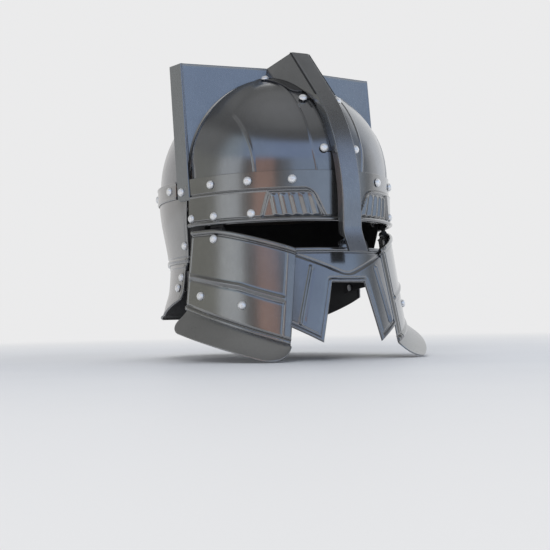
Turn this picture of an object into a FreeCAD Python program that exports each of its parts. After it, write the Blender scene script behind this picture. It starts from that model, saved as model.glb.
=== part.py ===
import FreeCAD, Part
import math
import os
from FreeCAD import Vector

# Knight helmet in sheet steel: a riveted skull with a transverse crest, a comb
# that runs down into a nasal bar, a face mask, a neck guard and two hinged
# cheek guards, over a laced leather liner.
#
# Frame: +Z up, the face looks along -Y, +X is the wearer's left. The origin is
# the head seat, where the top of the head touches the liner. Heights in the
# sheet are measured from the brow rim, and level() moves them to the frame.

os.makedirs("parts", exist_ok=True)
doc = FreeCAD.newDocument("knight_helmet")
sheet = doc.addObject("Spreadsheet::Sheet", "Sizes")

SIZES = (
    ("gauge", 1.2, "thickness of the sheet steel"),
    ("gap", 0.2, "play between two sheets that lie on each other"),
    ("seat_height", 122, "brow rim to head seat"),
    ("half_width", 100, "brow band, centre to side"),
    ("reach_front", 129.5, "brow band, centre to brow"),
    ("reach_back", 121, "rear band, centre to back"),
    ("band_height", 42, "brow rim to top edge of the brow band"),
    ("band_crease", 26.7, "brow rim to the crease in the brow band"),
    ("band_end", 75.5, "angle from the front where the brow band ends"),
    ("rim_height", 3.2, "height of the rolled rim"),
    ("rim_depth", 2.4, "how far the rolled rim stands out"),
    ("dome_rise", 99, "top edge of the brow band to the crown"),
    ("skull_split", -31, "fore-and-aft place of the joint in the skull"),
    ("skull_rear_low", 24, "brow rim to the lower edge of the rear skull"),
    ("crest_half_width", 97, "centre to the side edge of the crest"),
    ("crest_top", 146.7, "brow rim to the top edge of the crest"),
    ("crest_centre_back", -32, "fore-and-aft place of the crest's top at the centre"),
    ("crest_sweep", 13, "how far the wing tips lie behind the centre"),
    ("crest_lean", 12.4, "how far the crest leans back over its height"),
    ("crest_foot", 44, "brow rim to the foot of the wing"),
    ("flange_depth", 18, "depth of the side flange of the crest"),
    ("flange_splay", 2.9, "how far the flange opens outwards"),
    ("flange_foot", 24, "brow rim to the foot of the side flange"),
    ("strip_half_width", 8.8, "comb and nasal strip, centre to edge"),
    ("comb_peak_front", -61.4, "fore-and-aft place of the comb's peak"),
    ("comb_peak_height", 155.7, "brow rim to the comb's peak"),
    ("comb_slope", 44, "slope of the straight upper strip from the vertical"),
    ("bar_front", -144, "fore-and-aft place of the nasal bar's face"),
    ("bar_bend_height", 12.6, "height where the bar becomes upright"),
    ("bar_bend_radius", 142.5, "bend radius of the strip"),
    ("bar_kick_height", -9, "height where the nasal tip kicks forward"),
    ("bar_tip_height", -26, "height of the nasal tip"),
    ("bar_tip_kick", 8.8, "how far the nasal tip stands forward"),
    ("bar_depth", 8.5, "depth of the side returns of the nasal bar"),
    ("comb_back_half_width", 17, "half width of the comb where it meets the crest"),
    ("face_flare_side", 0.11, "outward flare of the face at the side, per mm down"),
    ("face_flare_front", 0.19, "outward flare of the face at the front, per mm down"),
    ("face_datum", -5.7, "height where the face has the plan of the brow"),
    ("cheek_back_angle", 73.9, "angle from the front of the cheek's rear edge"),
    ("cheek_front_angle_top", 23.6, "angle of the cheek's front edge at the top"),
    ("cheek_front_angle_low", 26.2, "angle of the cheek's front edge at the foot"),
    ("cheek_top_back", -3, "height of the cheek's top edge at the rear"),
    ("cheek_top_front", -21.8, "height of the cheek's top edge at the front"),
    ("cheek_low_back", -71, "height of the cheek's lower edge at the rear"),
    ("cheek_low_front", -101.3, "height of the cheek's lower edge at the front"),
    ("skirt_length", 25, "width of the flared skirt below the cheek"),
    ("skirt_flare", 46, "angle of the skirt from the vertical"),
    ("skirt_lap", 20, "how far the skirt goes up behind the cheek"),
    ("skirt_round_back", 11, "corner radius of the skirt at the rear"),
    ("skirt_round_front", 23, "corner radius of the skirt at the front"),
    ("mask_half_top", 46, "mask, centre to side at the top"),
    ("mask_top", -21.8, "height of the mask's top edge"),
    ("mask_inset", 2.4, "how far the mask lies behind the cheek's face"),
    ("tusk_tip_half", 27.8, "centre to the tusk's tip"),
    ("tusk_tip_height", -99.8, "height of the tusk's tip"),
    ("tusk_side_half", 50, "centre to the tusk's outer corner"),
    ("tusk_side_height", -87, "height of the tusk's outer corner"),
    ("mouth_half", 15.5, "half width of the mouth's top edge"),
    ("mouth_top", -51, "height of the mouth's top edge"),
    ("neck_top", 38, "height of the neck guard's top edge"),
    ("neck_lap_height", -29, "height of the joint in the neck guard"),
    ("neck_low", -79, "height of the neck guard's lower edge"),
    ("neck_waist", -7.8, "how far the neck guard draws in at its joint"),
    ("neck_front_angle", 77, "angle from the front of the neck guard's front edge"),
    ("hinge_angle", 61, "angle from the front of the cheek hinge"),
    ("hinge_height", -4, "height of the hinge pin"),
    ("hinge_inset", -4.2, "hinge pin, measured outwards from the face"),
    ("hinge_width", 14, "length of the cheek hinge"),
    ("pin_radius", 1.2, "radius of the hinge pin"),
    ("knuckle_radius", 2.4, "radius of the hinge knuckles"),
    ("pin_play", 0.05, "radial play of the pin in the knuckles"),
    ("rivet_head_radius", 3.7, "radius of a rivet head"),
    ("rivet_head_height", 2.5, "height of a rivet head"),
    ("shank_radius", 1.7, "radius of a rivet shank"),
    ("shank_play", 0.1, "radial play of a shank in its hole"),
    ("burr_radius", 3, "radius of the peened rivet end"),
    ("burr_height", 0.9, "thickness of the peened rivet end"),
    ("leather", 2.2, "thickness of the liner leather"),
    ("liner_low", 17, "brow rim to the lower edge of the headband"),
    ("liner_high", 39, "brow rim to the foot of the crown tongues"),
    ("tongue_count", 8, "number of crown tongues"),
    ("tongue_slot", 9, "width of the slot between two tongues"),
    ("crown_hole", 17, "radius of the laced hole in the crown"),
    ("lace_radius", 1.4, "radius of the lace"),
)
for row, (alias, value, note) in enumerate(SIZES, start=2):
    sheet.set("A%d" % row, note)
    sheet.set("B%d" % row, str(value))
    sheet.setAlias("B%d" % row, alias)
doc.recompute()

UP = Vector(0, 0, 1)
RIGHT = -1
LEFT = 1
SIDE_NAMES = ((RIGHT, "right"), (LEFT, "left"))
FRONT_HALF, BACK_HALF = -180, 180
DOME_WALL = 60
ARC_STATIONS = 9
RIM_SEGMENTS = 13
made = []
holes = {}
domes = {}


def size(alias):
    return float(sheet.get(alias))


GAUGE = size("gauge")
GAP = size("gap")
SEAT = size("seat_height")
HALF = size("half_width")
SIDE_X = size("crest_half_width")
LOOSE = GAUGE + GAP


def level(height):
    """Height above the head seat of a height measured from the brow rim."""
    return height - SEAT


def plan(angle, out=0):
    """Point of the brow plan, angle in degrees from the front towards +X."""
    turn = math.radians(angle)
    reach = size("reach_front") if math.cos(turn) > 0 else size("reach_back")
    on_curve = Vector(HALF * math.sin(turn), -reach * math.cos(turn), 0)
    return on_curve + outward(angle) * out


def outward(angle):
    """Level unit normal of the brow plan, pointing out of the helmet."""
    turn = math.radians(angle)
    reach = size("reach_front") if math.cos(turn) > 0 else size("reach_back")
    normal = Vector(math.sin(turn) / HALF, -math.cos(turn) / reach, 0)
    return normal.normalize()


def flare(angle, height):
    """How far the lower face stands outside the brow plan."""
    turn = math.radians(angle)
    side = size("face_flare_side") * math.sin(turn) ** 2
    front = size("face_flare_front") * math.cos(turn) ** 2
    return (size("face_datum") - height) * (side + front)


def at(angle, height, out=0):
    return plan(angle, out) + UP * level(height)


def on_face(angle, height, out=0):
    return at(angle, height, flare(angle, height) + out)


def spread(first, last, count):
    return [first + (last - first) * i / (count - 1) for i in range(count)]


def blend(first, last, share):
    return first + (last - first) * share


def curve(points):
    if len(points) == 2:
        return Part.makeLine(points[0], points[1])
    spline = Part.BSplineCurve()
    spline.interpolate(points)
    return spline.toShape()


def sheet_section(outer, inner):
    """Closed section of a bent sheet between its outer and inner line."""
    back = list(reversed(inner))
    edges = [curve(outer), Part.makeLine(outer[-1], back[0])]
    edges += [curve(back), Part.makeLine(back[-1], outer[0])]
    return Part.Wire(edges)


def loft(sections, ruled=False):
    solid = Part.makeLoft(sections, True, ruled)
    if solid.Volume < 0:
        solid.reverse()
    return solid


def ring_section(angle, profile):
    """Section of a band: profile holds (out, height) corners."""
    corners = [at(angle, height, out) for out, height in profile]
    return Part.makePolygon(corners + corners[:1])


def ring_band(profile, first, last, count=RIM_SEGMENTS):
    return loft([ring_section(angle, profile) for angle in spread(first, last, count)])


def dome(out):
    """Solid skull grown by out, kept once it has been made."""
    key = round(out, 3)
    if key not in domes:
        domes[key] = grown_dome(out)
    return domes[key]


def grown_dome(out):
    """A dome on an upright wall, longer at the front than at the back."""
    wide, rise = HALF - LOOSE + out, size("dome_rise") + out
    foot = Vector(0, 0, level(size("band_height")))
    front = half_bullet(wide, size("reach_front") - LOOSE + out, rise, DOME_WALL, FRONT_HALF)
    back = half_bullet(wide, size("reach_back") - LOOSE + out, rise, DOME_WALL, BACK_HALF)
    both = front.fuse(back)
    both.translate(foot)
    return both


def half_bullet(wide, deep, rise, wall, half):
    """Front or back half of a dome that stands on a wall, its rim at z = 0."""
    side, low = Vector(1, 0, 0), -wall / rise
    diagonal = Vector(math.sqrt(0.5), 0, math.sqrt(0.5))
    edges = [Part.Arc(UP, diagonal, side).toShape()]
    corners = [side, side + UP * low, UP * low, UP]
    edges += [Part.makeLine(first, last) for first, last in zip(corners, corners[1:])]
    unit = Part.Face(Part.Wire(edges)).revolve(Vector(0, 0, 0), UP, half)
    stretch = FreeCAD.Matrix()
    stretch.scale(wide, deep, rise)
    return unit.transformGeometry(stretch)


def slab(low, high):
    """Box between two corners."""
    low, high = Vector(*low), Vector(*high)
    span = high - low
    return Part.makeBox(span.x, span.y, span.z, low)


def prism(outline, toward):
    face = Part.Face(Part.makePolygon(list(outline) + [outline[0]]))
    return face.extrude(toward)


def mirrored(shape):
    return shape.mirror(Vector(0, 0, 0), Vector(1, 0, 0))


def node(name, shape):
    """Puts one finished piece into the document under its own label."""
    if len(shape.Solids) == 1:
        shape = shape.Solids[0]
    feature = doc.addObject("Part::Feature", name)
    feature.Label = name
    feature.Shape = shape
    made.append(feature)
    return feature


def pair(name, right_shape):
    """A piece and its mirror twin, one node on each side of the head."""
    node(name + "_right", right_shape)
    node(name + "_left", mirrored(right_shape))


# ---- rivets -------------------------------------------------------------

HEAD_SEAT_PLAY = 0.15
BURR_PLAY = 0.15


def rivet(place, normal, grip):
    """One round-headed rivet: head outside, shank, peened burr inside."""
    head, rise = size("rivet_head_radius"), size("rivet_head_height")
    shank, burr = size("shank_radius"), size("burr_radius")
    grip += BURR_PLAY
    end = -grip - size("burr_height")
    crown_point = Vector(0, 0, rise)
    brim_point = Vector(head, 0, 0)
    half_way = Vector(head * math.sin(math.radians(48)), 0, rise * 0.74)
    edges = [Part.Arc(crown_point, half_way, brim_point).toShape()]
    corners = [brim_point, Vector(shank, 0, 0), Vector(shank, 0, -grip)]
    corners += [Vector(burr, 0, -grip), Vector(burr, 0, end), Vector(0, 0, end), crown_point]
    edges += [Part.makeLine(a, b) for a, b in zip(corners, corners[1:])]
    turned = Part.Face(Part.Wire(edges)).revolve(Vector(0, 0, 0), UP, 360)
    turned.Placement = FreeCAD.Placement(place, FreeCAD.Rotation(UP, normal))
    return turned


def rivet_group(name, places, grip, pierced):
    """A node of like rivets, and the holes that they need in the sheets."""
    node(name, Part.makeCompound([rivet(place, normal, grip) for place, normal in places]))
    radius = size("shank_radius") + size("shank_play")
    reach = grip + 6
    for target in pierced:
        for place, normal in places:
            drill = Part.makeCylinder(radius, 2 * reach, place - normal * reach, normal)
            holes.setdefault(target, []).append(drill)


def drill_holes():
    for feature in made:
        drills = holes.get(feature.Label)
        if drills:
            cut = feature.Shape.cut(drills)
            feature.Shape = cut.Solids[0] if len(cut.Solids) == 1 else cut


def both_sides(places):
    flip = lambda v: Vector(-v.x, v.y, v.z)
    return [(flip(p), flip(n)) for p, n in places] + list(places)


def band_place(angle, height, out=0):
    """A rivet's place on the upright bands."""
    return at(angle, height, out + HEAD_SEAT_PLAY), outward(angle)


def face_normal(angle, height):
    step = 1.0
    along = on_face(angle + step, height) - on_face(angle - step, height)
    down = on_face(angle, height - step) - on_face(angle, height + step)
    normal = along.cross(down).normalize()
    return normal if normal.dot(outward(angle)) > 0 else -normal


def face_place(angle, height, out=0):
    normal = face_normal(angle, height)
    return on_face(angle, height, out) + normal * HEAD_SEAT_PLAY, normal


def dome_place(x, y, out=0):
    """A rivet's place on the dome, above the plan point x, y."""
    wide, rise = HALF - LOOSE, size("dome_rise")
    deep = (size("reach_front") if y < 0 else size("reach_back")) - LOOSE
    up = rise * math.sqrt(1 - (x / wide) ** 2 - (y / deep) ** 2)
    normal = Vector(x / wide ** 2, y / deep ** 2, up / rise ** 2).normalize()
    place = Vector(x, y, level(size("band_height")) + up)
    return place + normal * (out + HEAD_SEAT_PLAY), normal


# ---- skull --------------------------------------------------------------

skull_hollow = dome(-GAUGE)
skull_solid = dome(0)
skull = skull_solid.cut(skull_hollow)
split_y = size("skull_split")
FAR = 400
front_room = slab((-FAR, -FAR, level(0.5)), (FAR, split_y - GAP / 2, FAR))
rear_room = slab((-FAR, split_y + GAP / 2, level(size("skull_rear_low"))), (FAR, FAR, FAR))
node("skull_front", skull.common(front_room))
node("skull_rear", skull.common(rear_room))

band_top = size("band_height")
crease = size("band_crease")
rim_out, rim_high = size("rim_depth"), size("rim_height")
brow_profile = [(-GAUGE, 0), (rim_out, 0), (rim_out, rim_high), (0, rim_high)]
brow_profile += [(0, crease - 1), (-0.3, crease), (-0.3, band_top), (-GAUGE, band_top)]
band_end = size("band_end")
node("brow_band", ring_band(brow_profile, -band_end, band_end))

REAR_BAND_FRONT = -10
rear_band_room = slab((-FAR, REAR_BAND_FRONT, level(crease)), (FAR, FAR, level(band_top)))
node("rear_band", dome(LOOSE + GAP + GAUGE).cut(dome(LOOSE + GAP)).common(rear_band_room))

# ---- crest --------------------------------------------------------------

crest_top, crest_foot = size("crest_top"), size("crest_foot")
lean = size("crest_lean") / (crest_top - crest_foot)


def crest_point(x, height):
    """Point of the crest's front face on the wearer's right."""
    back = size("crest_centre_back") + size("crest_sweep") * abs(x) / SIDE_X
    return Vector(x, back - lean * (crest_top - height), level(height))


CENTRE_GAP = 0.3
wing_corners = [crest_point(-CENTRE_GAP, crest_top), crest_point(-SIDE_X, crest_top)]
wing_corners += [crest_point(-SIDE_X, crest_foot), crest_point(-CENTRE_GAP, crest_foot)]
wing_back = (wing_corners[1] - wing_corners[0]).cross(wing_corners[2] - wing_corners[1])
wing_back.normalize()
wing_back = wing_back if wing_back.y > 0 else -wing_back
wing = prism(wing_corners, wing_back * GAUGE)
flange_out = Vector(-size("flange_splay"), size("flange_depth"), 0)
flange_foot = size("flange_foot")
FLANGE_LAP = 0.8
flange_x = FLANGE_LAP - SIDE_X
flange_corners = [crest_point(flange_x, crest_top), crest_point(flange_x, flange_foot)]
flange_corners += [corner + flange_out for corner in reversed(flange_corners)]
flange_normal = flange_out.cross(flange_corners[1] - flange_corners[0]).normalize()
flange_normal = flange_normal if flange_normal.x < 0 else -flange_normal
flange = prism(flange_corners, flange_normal * GAUGE)
crest_clear = dome(LOOSE + GAP)
pair("crest_wing", wing.cut(crest_clear).fuse(flange.cut(dome(LOOSE + GAP))))

# ---- comb and nasal bar -------------------------------------------------

slope = math.radians(size("comb_slope"))
bend_radius, bend_height = size("bar_bend_radius"), size("bar_bend_height")
bend_centre_y = size("bar_front") + bend_radius
down_strip = Vector(0, -math.sin(slope), -math.cos(slope))
strip_half = size("strip_half_width")


def strip_side(x, inset):
    """Edges of the strip's profile at x, moved inwards by inset."""
    radius = bend_radius - inset
    centre = Vector(x, bend_centre_y, level(bend_height))
    shoulder = centre + Vector(0, -math.cos(slope), math.sin(slope)) * radius
    middle = centre + Vector(0, -math.cos(slope / 2), math.sin(slope / 2)) * radius
    foot = centre + Vector(0, -radius, 0)
    peak_rise = (size("comb_peak_height") - (shoulder.z + SEAT)) / math.cos(slope)
    peak = shoulder - down_strip * peak_rise
    kick = Vector(x, size("bar_front") + inset, level(size("bar_kick_height")))
    tip = Vector(x, kick.y - size("bar_tip_kick"), level(size("bar_tip_height")))
    edges = [Part.makeLine(peak, shoulder), Part.Arc(shoulder, middle, foot).toShape()]
    edges += [Part.makeLine(foot, kick), Part.makeLine(kick, tip)]
    return edges, peak, shoulder, tip


def strip_plate(half, near, far):
    """Solid between two insets of the strip's profile."""
    outer, peak_a, _, tip_a = strip_side(-half, near)
    inner, peak_b, _, tip_b = strip_side(-half, far)
    loop = outer + [Part.makeLine(tip_a, tip_b)] + inner + [Part.makeLine(peak_a, peak_b)]
    outline = Part.Wire(Part.__sortEdges__(loop))
    return Part.Face(outline).extrude(Vector(2 * half, 0, 0))


bar_depth = size("bar_depth")
strip_shell = strip_plate(strip_half, 0, GAUGE)
returns = strip_plate(strip_half, 0, bar_depth).cut(strip_plate(strip_half - GAUGE, -1, bar_depth + 1))
RETURN_TOP = 108
KICK_RETURN = -14
returns = returns.common(slab((-FAR, -FAR, level(KICK_RETURN)), (FAR, FAR, level(RETURN_TOP))))
bar_clear = dome(LOOSE + GAP)
node("nasal_bar", strip_shell.fuse(returns).cut(bar_clear))

_, wall_peak, wall_shoulder, _ = strip_side(-strip_half, GAUGE + GAP)
comb_back = crest_point(-size("comb_back_half_width"), crest_top) + Vector(0, -0.6, 0)
wall_normal = (wall_shoulder - wall_peak).cross(comb_back - wall_peak).normalize()


def on_wall(y, z):
    """Point of the comb wall's plane above y, z."""
    drop = wall_normal.y * (y - wall_peak.y) + wall_normal.z * (z - wall_peak.z)
    return Vector(wall_peak.x - drop / wall_normal.x, y, z)


low_z = level(96)
rear_foot = comb_back.y - lean * (comb_back.z - low_z)
wall_corners = [wall_peak, wall_shoulder, on_wall(wall_shoulder.y + 20, low_z)]
wall_corners += [on_wall(rear_foot, low_z), comb_back]
wall_in = wall_normal if wall_normal.x > 0 else -wall_normal
comb_clear = dome(LOOSE + GAP)
pair("comb_wall", prism(wall_corners, wall_in * GAUGE).cut(comb_clear))

STRAP_SIDE = ((25, -31.5), (25, -46), (22.5, -66), (19.5, -78), (13, -85.5))
strap_outline = list(STRAP_SIDE) + [(-x, y) for x, y in reversed(STRAP_SIDE)]
strap_room = prism([Vector(x, y, 0) for x, y in strap_outline], UP * FAR)
node("crown_strap", dome(GAUGE + GAP).cut(dome(GAP)).common(strap_room))

SADDLE_HALF = 19.5


def saddle(y_low, y_high, height_low, height_high):
    """Strap over the dome that holds the comb, with a foot on each side."""
    low = (-SADDLE_HALF, y_low, level(height_low))
    high = (SADDLE_HALF, y_high, level(height_high))
    return dome(GAP + GAUGE).cut(dome(GAP)).common(slab(low, high))


node("comb_saddle_upper", saddle(-97.5, -91.5, 90, 125))
node("comb_saddle_lower", saddle(-140, -100, 57, 63))

# ---- face mask ----------------------------------------------------------

mask_inset = -size("mask_inset")
mask_low_edge = size("tusk_tip_height") - 4
mask_sections = []
for angle in spread(-30, 30, ARC_STATIONS):
    span = spread(size("mask_top"), mask_low_edge, 3)
    outer = [on_face(angle, height, mask_inset) for height in span]
    inner = [on_face(angle, height, mask_inset - GAUGE) for height in span]
    mask_sections.append(Part.makePolygon([outer[0], outer[-1], inner[-1], inner[0], outer[0]]))
mask_blank = loft(mask_sections)
half_outline = [(size("mouth_half"), size("mouth_top"))]
half_outline += [(size("tusk_tip_half"), size("tusk_tip_height"))]
half_outline += [(size("tusk_side_half"), size("tusk_side_height"))]
half_outline += [(size("mask_half_top"), size("mask_top") + 1)]
outline = [(x, high) for x, high in half_outline]
outline += [(-x, high) for x, high in reversed(half_outline)]
mask_cutter = prism([Vector(x, -FAR, level(high)) for x, high in outline], Vector(0, FAR, 0))
node("face_mask", mask_blank.common(mask_cutter))

# ---- neck guard ---------------------------------------------------------

neck_top, neck_lap = size("neck_top"), size("neck_lap_height")
neck_low, waist = size("neck_low"), size("neck_waist")
neck_front = size("neck_front_angle")
UPPER_NECK = ((0, neck_top), (0, 25), (-1.6, 9.5), (-4.2, -5), (-6.6, -19), (waist, neck_lap))
LOWER_NECK = ((waist - 1.6, neck_lap + 4), (waist - 0.8, -42), (-7, -56), (-4.2, -65.5), (-0.5, neck_low))
NECK_FRONT = ((-60, neck_top + 1), (-30, neck_top + 1), (-28.3, 22), (-16.3, neck_lap), (-60, neck_lap - 2))
LAME_FRONT = ((-13, neck_lap + 5), (-7.6, -37), (-6, -54), (-3, -61), (14, -66), (33, -71.5))
LAME_FRONT += ((60, neck_low - 1), (-60, neck_low - 1), (-60, neck_lap + 5))


def neck_section(angle, profile):
    outer = [at(angle, height, out) for out, height in profile]
    inner = [at(angle, height, out - GAUGE) for out, height in profile]
    return sheet_section(outer, inner)


def side_cutter(outline):
    """Prism right across the helmet over a (y, height) outline."""
    return prism([Vector(-FAR, y, level(height)) for y, height in outline], Vector(2 * FAR, 0, 0))


guard_angles = spread(neck_front, 360 - neck_front, RIM_SEGMENTS)
guard = loft([neck_section(angle, UPPER_NECK) for angle in guard_angles])
node("neck_guard", guard.cut(side_cutter(NECK_FRONT)))
lame_start = neck_front + 6
lame_angles = spread(lame_start, 360 - lame_start, RIM_SEGMENTS)
lame = loft([neck_section(angle, LOWER_NECK) for angle in lame_angles])
node("neck_lame", lame.cut(side_cutter(LAME_FRONT)))

REST_BACK, REST_FRONT = 98, 69
REST_OUT_BACK, REST_OUT_FRONT = waist - 3.2, 2.2
REST_SPAN_BACK, REST_SPAN_FRONT = (-57, -36), (-47, -37)


def rest_tab():
    """Tab inside the neck lame's front edge that the cheek guard closes on."""
    sections = []
    for share in spread(0, 1, 6):
        angle = -blend(REST_BACK, REST_FRONT, share)
        reach = max(0, share - 0.35) / 0.65
        out = blend(REST_OUT_BACK, REST_OUT_FRONT, reach)
        span = [blend(back, front, share) for back, front in zip(REST_SPAN_BACK, REST_SPAN_FRONT)]
        outer = [at(angle, height, out) for height in span]
        inner = [at(angle, height, out - GAUGE) for height in reversed(span)]
        sections.append(Part.makePolygon(outer + inner + outer[:1]))
    return loft(sections)


pair("cheek_rest", rest_tab())

STAY_FRONT_TOP, STAY_FRONT_LOW = 67.5, 71
STAY_BACK_TOP, STAY_BACK_LOW = 80.5, 89.9
STAY_TOP, STAY_LOW = 14, -25
STAY_INSET_TOP, STAY_INSET_LOW = -LOOSE - GAUGE - 2 * GAP, waist - LOOSE - 0.8


def side_stay():
    """Strap inside the skull that carries the neck guard's front edge."""
    sections = []
    for share in spread(0, 1, 5):
        height = blend(STAY_TOP, STAY_LOW, share)
        front = blend(STAY_FRONT_TOP, STAY_FRONT_LOW, share)
        back = blend(STAY_BACK_TOP, STAY_BACK_LOW, share)
        out = blend(STAY_INSET_TOP, STAY_INSET_LOW, share ** 1.3)
        outer = [at(-angle, height, out) for angle in spread(front, back, 5)]
        inner = [at(-angle, height, out - GAUGE) for angle in spread(back, front, 5)]
        sections.append(Part.makePolygon(outer + inner + outer[:1]))
    return loft(sections)


pair("side_stay", side_stay())

# ---- cheek guards -------------------------------------------------------

cheek_back, front_top = size("cheek_back_angle"), size("cheek_front_angle_top")
front_low = size("cheek_front_angle_low")


def cheek_top(share):
    """Height of the cheek's top edge: level at the rear, falling to the front."""
    level_part = 0.24
    fall = max(0, share - level_part) / (1 - level_part)
    return blend(size("cheek_top_back"), size("cheek_top_front"), fall ** 1.25)


def cheek_low(share):
    return blend(size("cheek_low_back"), size("cheek_low_front"), share)


def cheek_point(share, down):
    """Point of the cheek: share runs from the rear edge to the front edge."""
    height = blend(cheek_top(share), cheek_low(share), down)
    angle = blend(cheek_back, blend(front_top, front_low, down), share)
    return on_face(-angle, height)


def cheek_plate():
    sections = []
    for share in spread(0, 1, ARC_STATIONS):
        inward = outward(-blend(cheek_back, front_top, share)) * -GAUGE
        outer = [cheek_point(share, 0), cheek_point(share, 1)]
        inner = [outer[1] + inward, outer[0] + inward]
        sections.append(Part.makePolygon(outer + inner + outer[:1]))
    return loft(sections)


skirt_length, skirt_flare = size("skirt_length"), math.radians(size("skirt_flare"))
CHEEK_RUN = 115


def skirt_reach(share):
    """Width of the skirt, with a round corner at each end."""
    for end, radius in ((share, size("skirt_round_back")), (1 - share, size("skirt_round_front"))):
        along = end * CHEEK_RUN
        if along < radius:
            return skirt_length - radius + math.sqrt(radius ** 2 - (radius - along) ** 2)
    return skirt_length


def cheek_skirt():
    """Flared lower plate, lapped behind the cheek plate and riveted to it."""
    behind = -GAUGE - GAP
    shares = [0, 0.03, 0.1, 0.22, 0.36, 0.5, 0.64, 0.78, 0.87, 0.93, 0.97, 1]
    sections = []
    for share in shares:
        angle = -blend(cheek_back, front_low, share)
        fold = on_face(angle, cheek_low(share), behind)
        top = on_face(angle, cheek_low(share) + size("skirt_lap"), behind)
        side = outward(angle)
        reach = skirt_reach(share)
        brim = fold + side * (reach * math.sin(skirt_flare)) - UP * (reach * math.cos(skirt_flare))
        lean_in = side * (-GAUGE * math.cos(skirt_flare)) - UP * (GAUGE * math.sin(skirt_flare))
        corners = [top, fold, brim, brim + lean_in, fold - side * GAUGE, top - side * GAUGE]
        sections.append(Part.makePolygon(corners + corners[:1]))
    return loft(sections)


pair("cheek_guard", cheek_plate())
pair("cheek_skirt", cheek_skirt())

# ---- cheek hinges -------------------------------------------------------

hinge_angle = size("hinge_angle")
hinge_centre = at(-hinge_angle, size("hinge_height"), size("hinge_inset"))
hinge_side = outward(-hinge_angle)
hinge_along = hinge_side.cross(UP).normalize()
hinge_width, knuckle = size("hinge_width"), size("knuckle_radius")
pin_hole = size("pin_radius") + size("pin_play")
KNUCKLE_GAP = 0.2


def knuckles(starts, length):
    return [Part.makeCylinder(knuckle, length, hinge_centre + hinge_along * start, hinge_along)
            for start in starts]


def leaf(corners):
    """Flat hinge leaf: corners are (out, height) along the hinge's width."""
    begin = hinge_centre - hinge_along * (hinge_width / 2)
    points = [begin + hinge_side * out + UP * high for out, high in corners]
    return prism(points, hinge_along * hinge_width)


bore = Part.makeCylinder(pin_hole, hinge_width + 2, hinge_centre - hinge_along * (hinge_width / 2 + 1),
                         hinge_along)
third = hinge_width / 3
relief = knuckle + 0.3
outer_pair = knuckles((-hinge_width / 2, hinge_width / 6), third)
middle = knuckles((-third / 2 + KNUCKLE_GAP,), third - 2 * KNUCKLE_GAP)
middle_room = Part.makeCylinder(relief, third, hinge_centre - hinge_along * (third / 2), hinge_along)
side_room = third + 2 * KNUCKLE_GAP
side_rooms = [Part.makeCylinder(relief, side_room, hinge_centre + hinge_along * start, hinge_along)
              for start in (-hinge_width / 2 - KNUCKLE_GAP, hinge_width / 6 - KNUCKLE_GAP)]

leaf_out = size("hinge_inset")
skull_back = -LOOSE - GAUGE - 3 * GAP - leaf_out
UPPER_LEAF_HIGH, LOWER_LEAF_LOW = 18.5, -13.5
upper_leaf = leaf(((skull_back - GAUGE, 0.5), (skull_back, 0.5), (skull_back, UPPER_LEAF_HIGH),
                   (skull_back - GAUGE, UPPER_LEAF_HIGH)))
upper = upper_leaf.cut(middle_room).multiFuse(outer_pair).cut(bore)
pair("hinge_upper", upper)

lean_low = flare(hinge_angle, size("hinge_height") + LOWER_LEAF_LOW)
cheek_inside = -GAUGE - GAP - leaf_out
lower_leaf = leaf(((cheek_inside - 0.5, -0.5), (cheek_inside - 0.5 - GAUGE, -0.5),
                   (cheek_inside - GAUGE - 0.5 + lean_low, LOWER_LEAF_LOW),
                   (cheek_inside - 0.5 + lean_low, LOWER_LEAF_LOW)))
lower = lower_leaf.cut(side_rooms).multiFuse(middle).cut(bore)
pair("hinge_lower", lower)

for side, side_name in SIDE_NAMES:
    pin = doc.addObject("Part::Cylinder", "hinge_pin_" + side_name)
    pin.Label = "hinge_pin_" + side_name
    pin.setExpression("Radius", "Sizes.pin_radius")
    pin.setExpression("Height", "Sizes.hinge_width")
    axis = Vector(-side * hinge_along.x, hinge_along.y, 0)
    centre = Vector(-side * hinge_centre.x, hinge_centre.y, hinge_centre.z)
    pin.Placement = FreeCAD.Placement(centre - axis * (hinge_width / 2), FreeCAD.Rotation(UP, axis))
    made.append(pin)

# ---- nasal foot ---------------------------------------------------------

FOOT_HALF = 4.5
FOOT_TOP, FOOT_BEND = -2, -12
PAD_TOP, PAD_LOW = -19.5, -31
FOOT_PLAY = 0.1


def nasal_foot():
    """Cranked bracket from the back of the nasal bar to the back of the mask."""
    bar_back = size("bar_front") + GAUGE + FOOT_PLAY
    front = [(bar_back, height) for height in (FOOT_TOP, FOOT_BEND)]
    behind_mask = mask_inset - GAUGE - 3 * FOOT_PLAY
    front += [(on_face(0, height, behind_mask).y, height) for height in (PAD_TOP, PAD_LOW)]
    back = [(y + GAUGE, height + GAUGE) for y, height in reversed(front)]
    return prism([Vector(-FOOT_HALF, y, level(height)) for y, height in front + back],
                 Vector(2 * FOOT_HALF, 0, 0))


node("nasal_foot", nasal_foot())

# ---- liner --------------------------------------------------------------

leather = size("leather")
liner_out = -LOOSE - GAUGE - GAP
SEAM_GAP = 1.5
TONGUE_WALL = 0.5
headband_high = size("liner_high") - TONGUE_WALL - 0.1
liner_profile = [(liner_out, size("liner_low")), (liner_out, headband_high)]
liner_profile += [(liner_out - leather, headband_high), (liner_out - leather, size("liner_low"))]
node("liner_headband", ring_band(liner_profile, -180 + SEAM_GAP, 180 - SEAM_GAP, 25))


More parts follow.
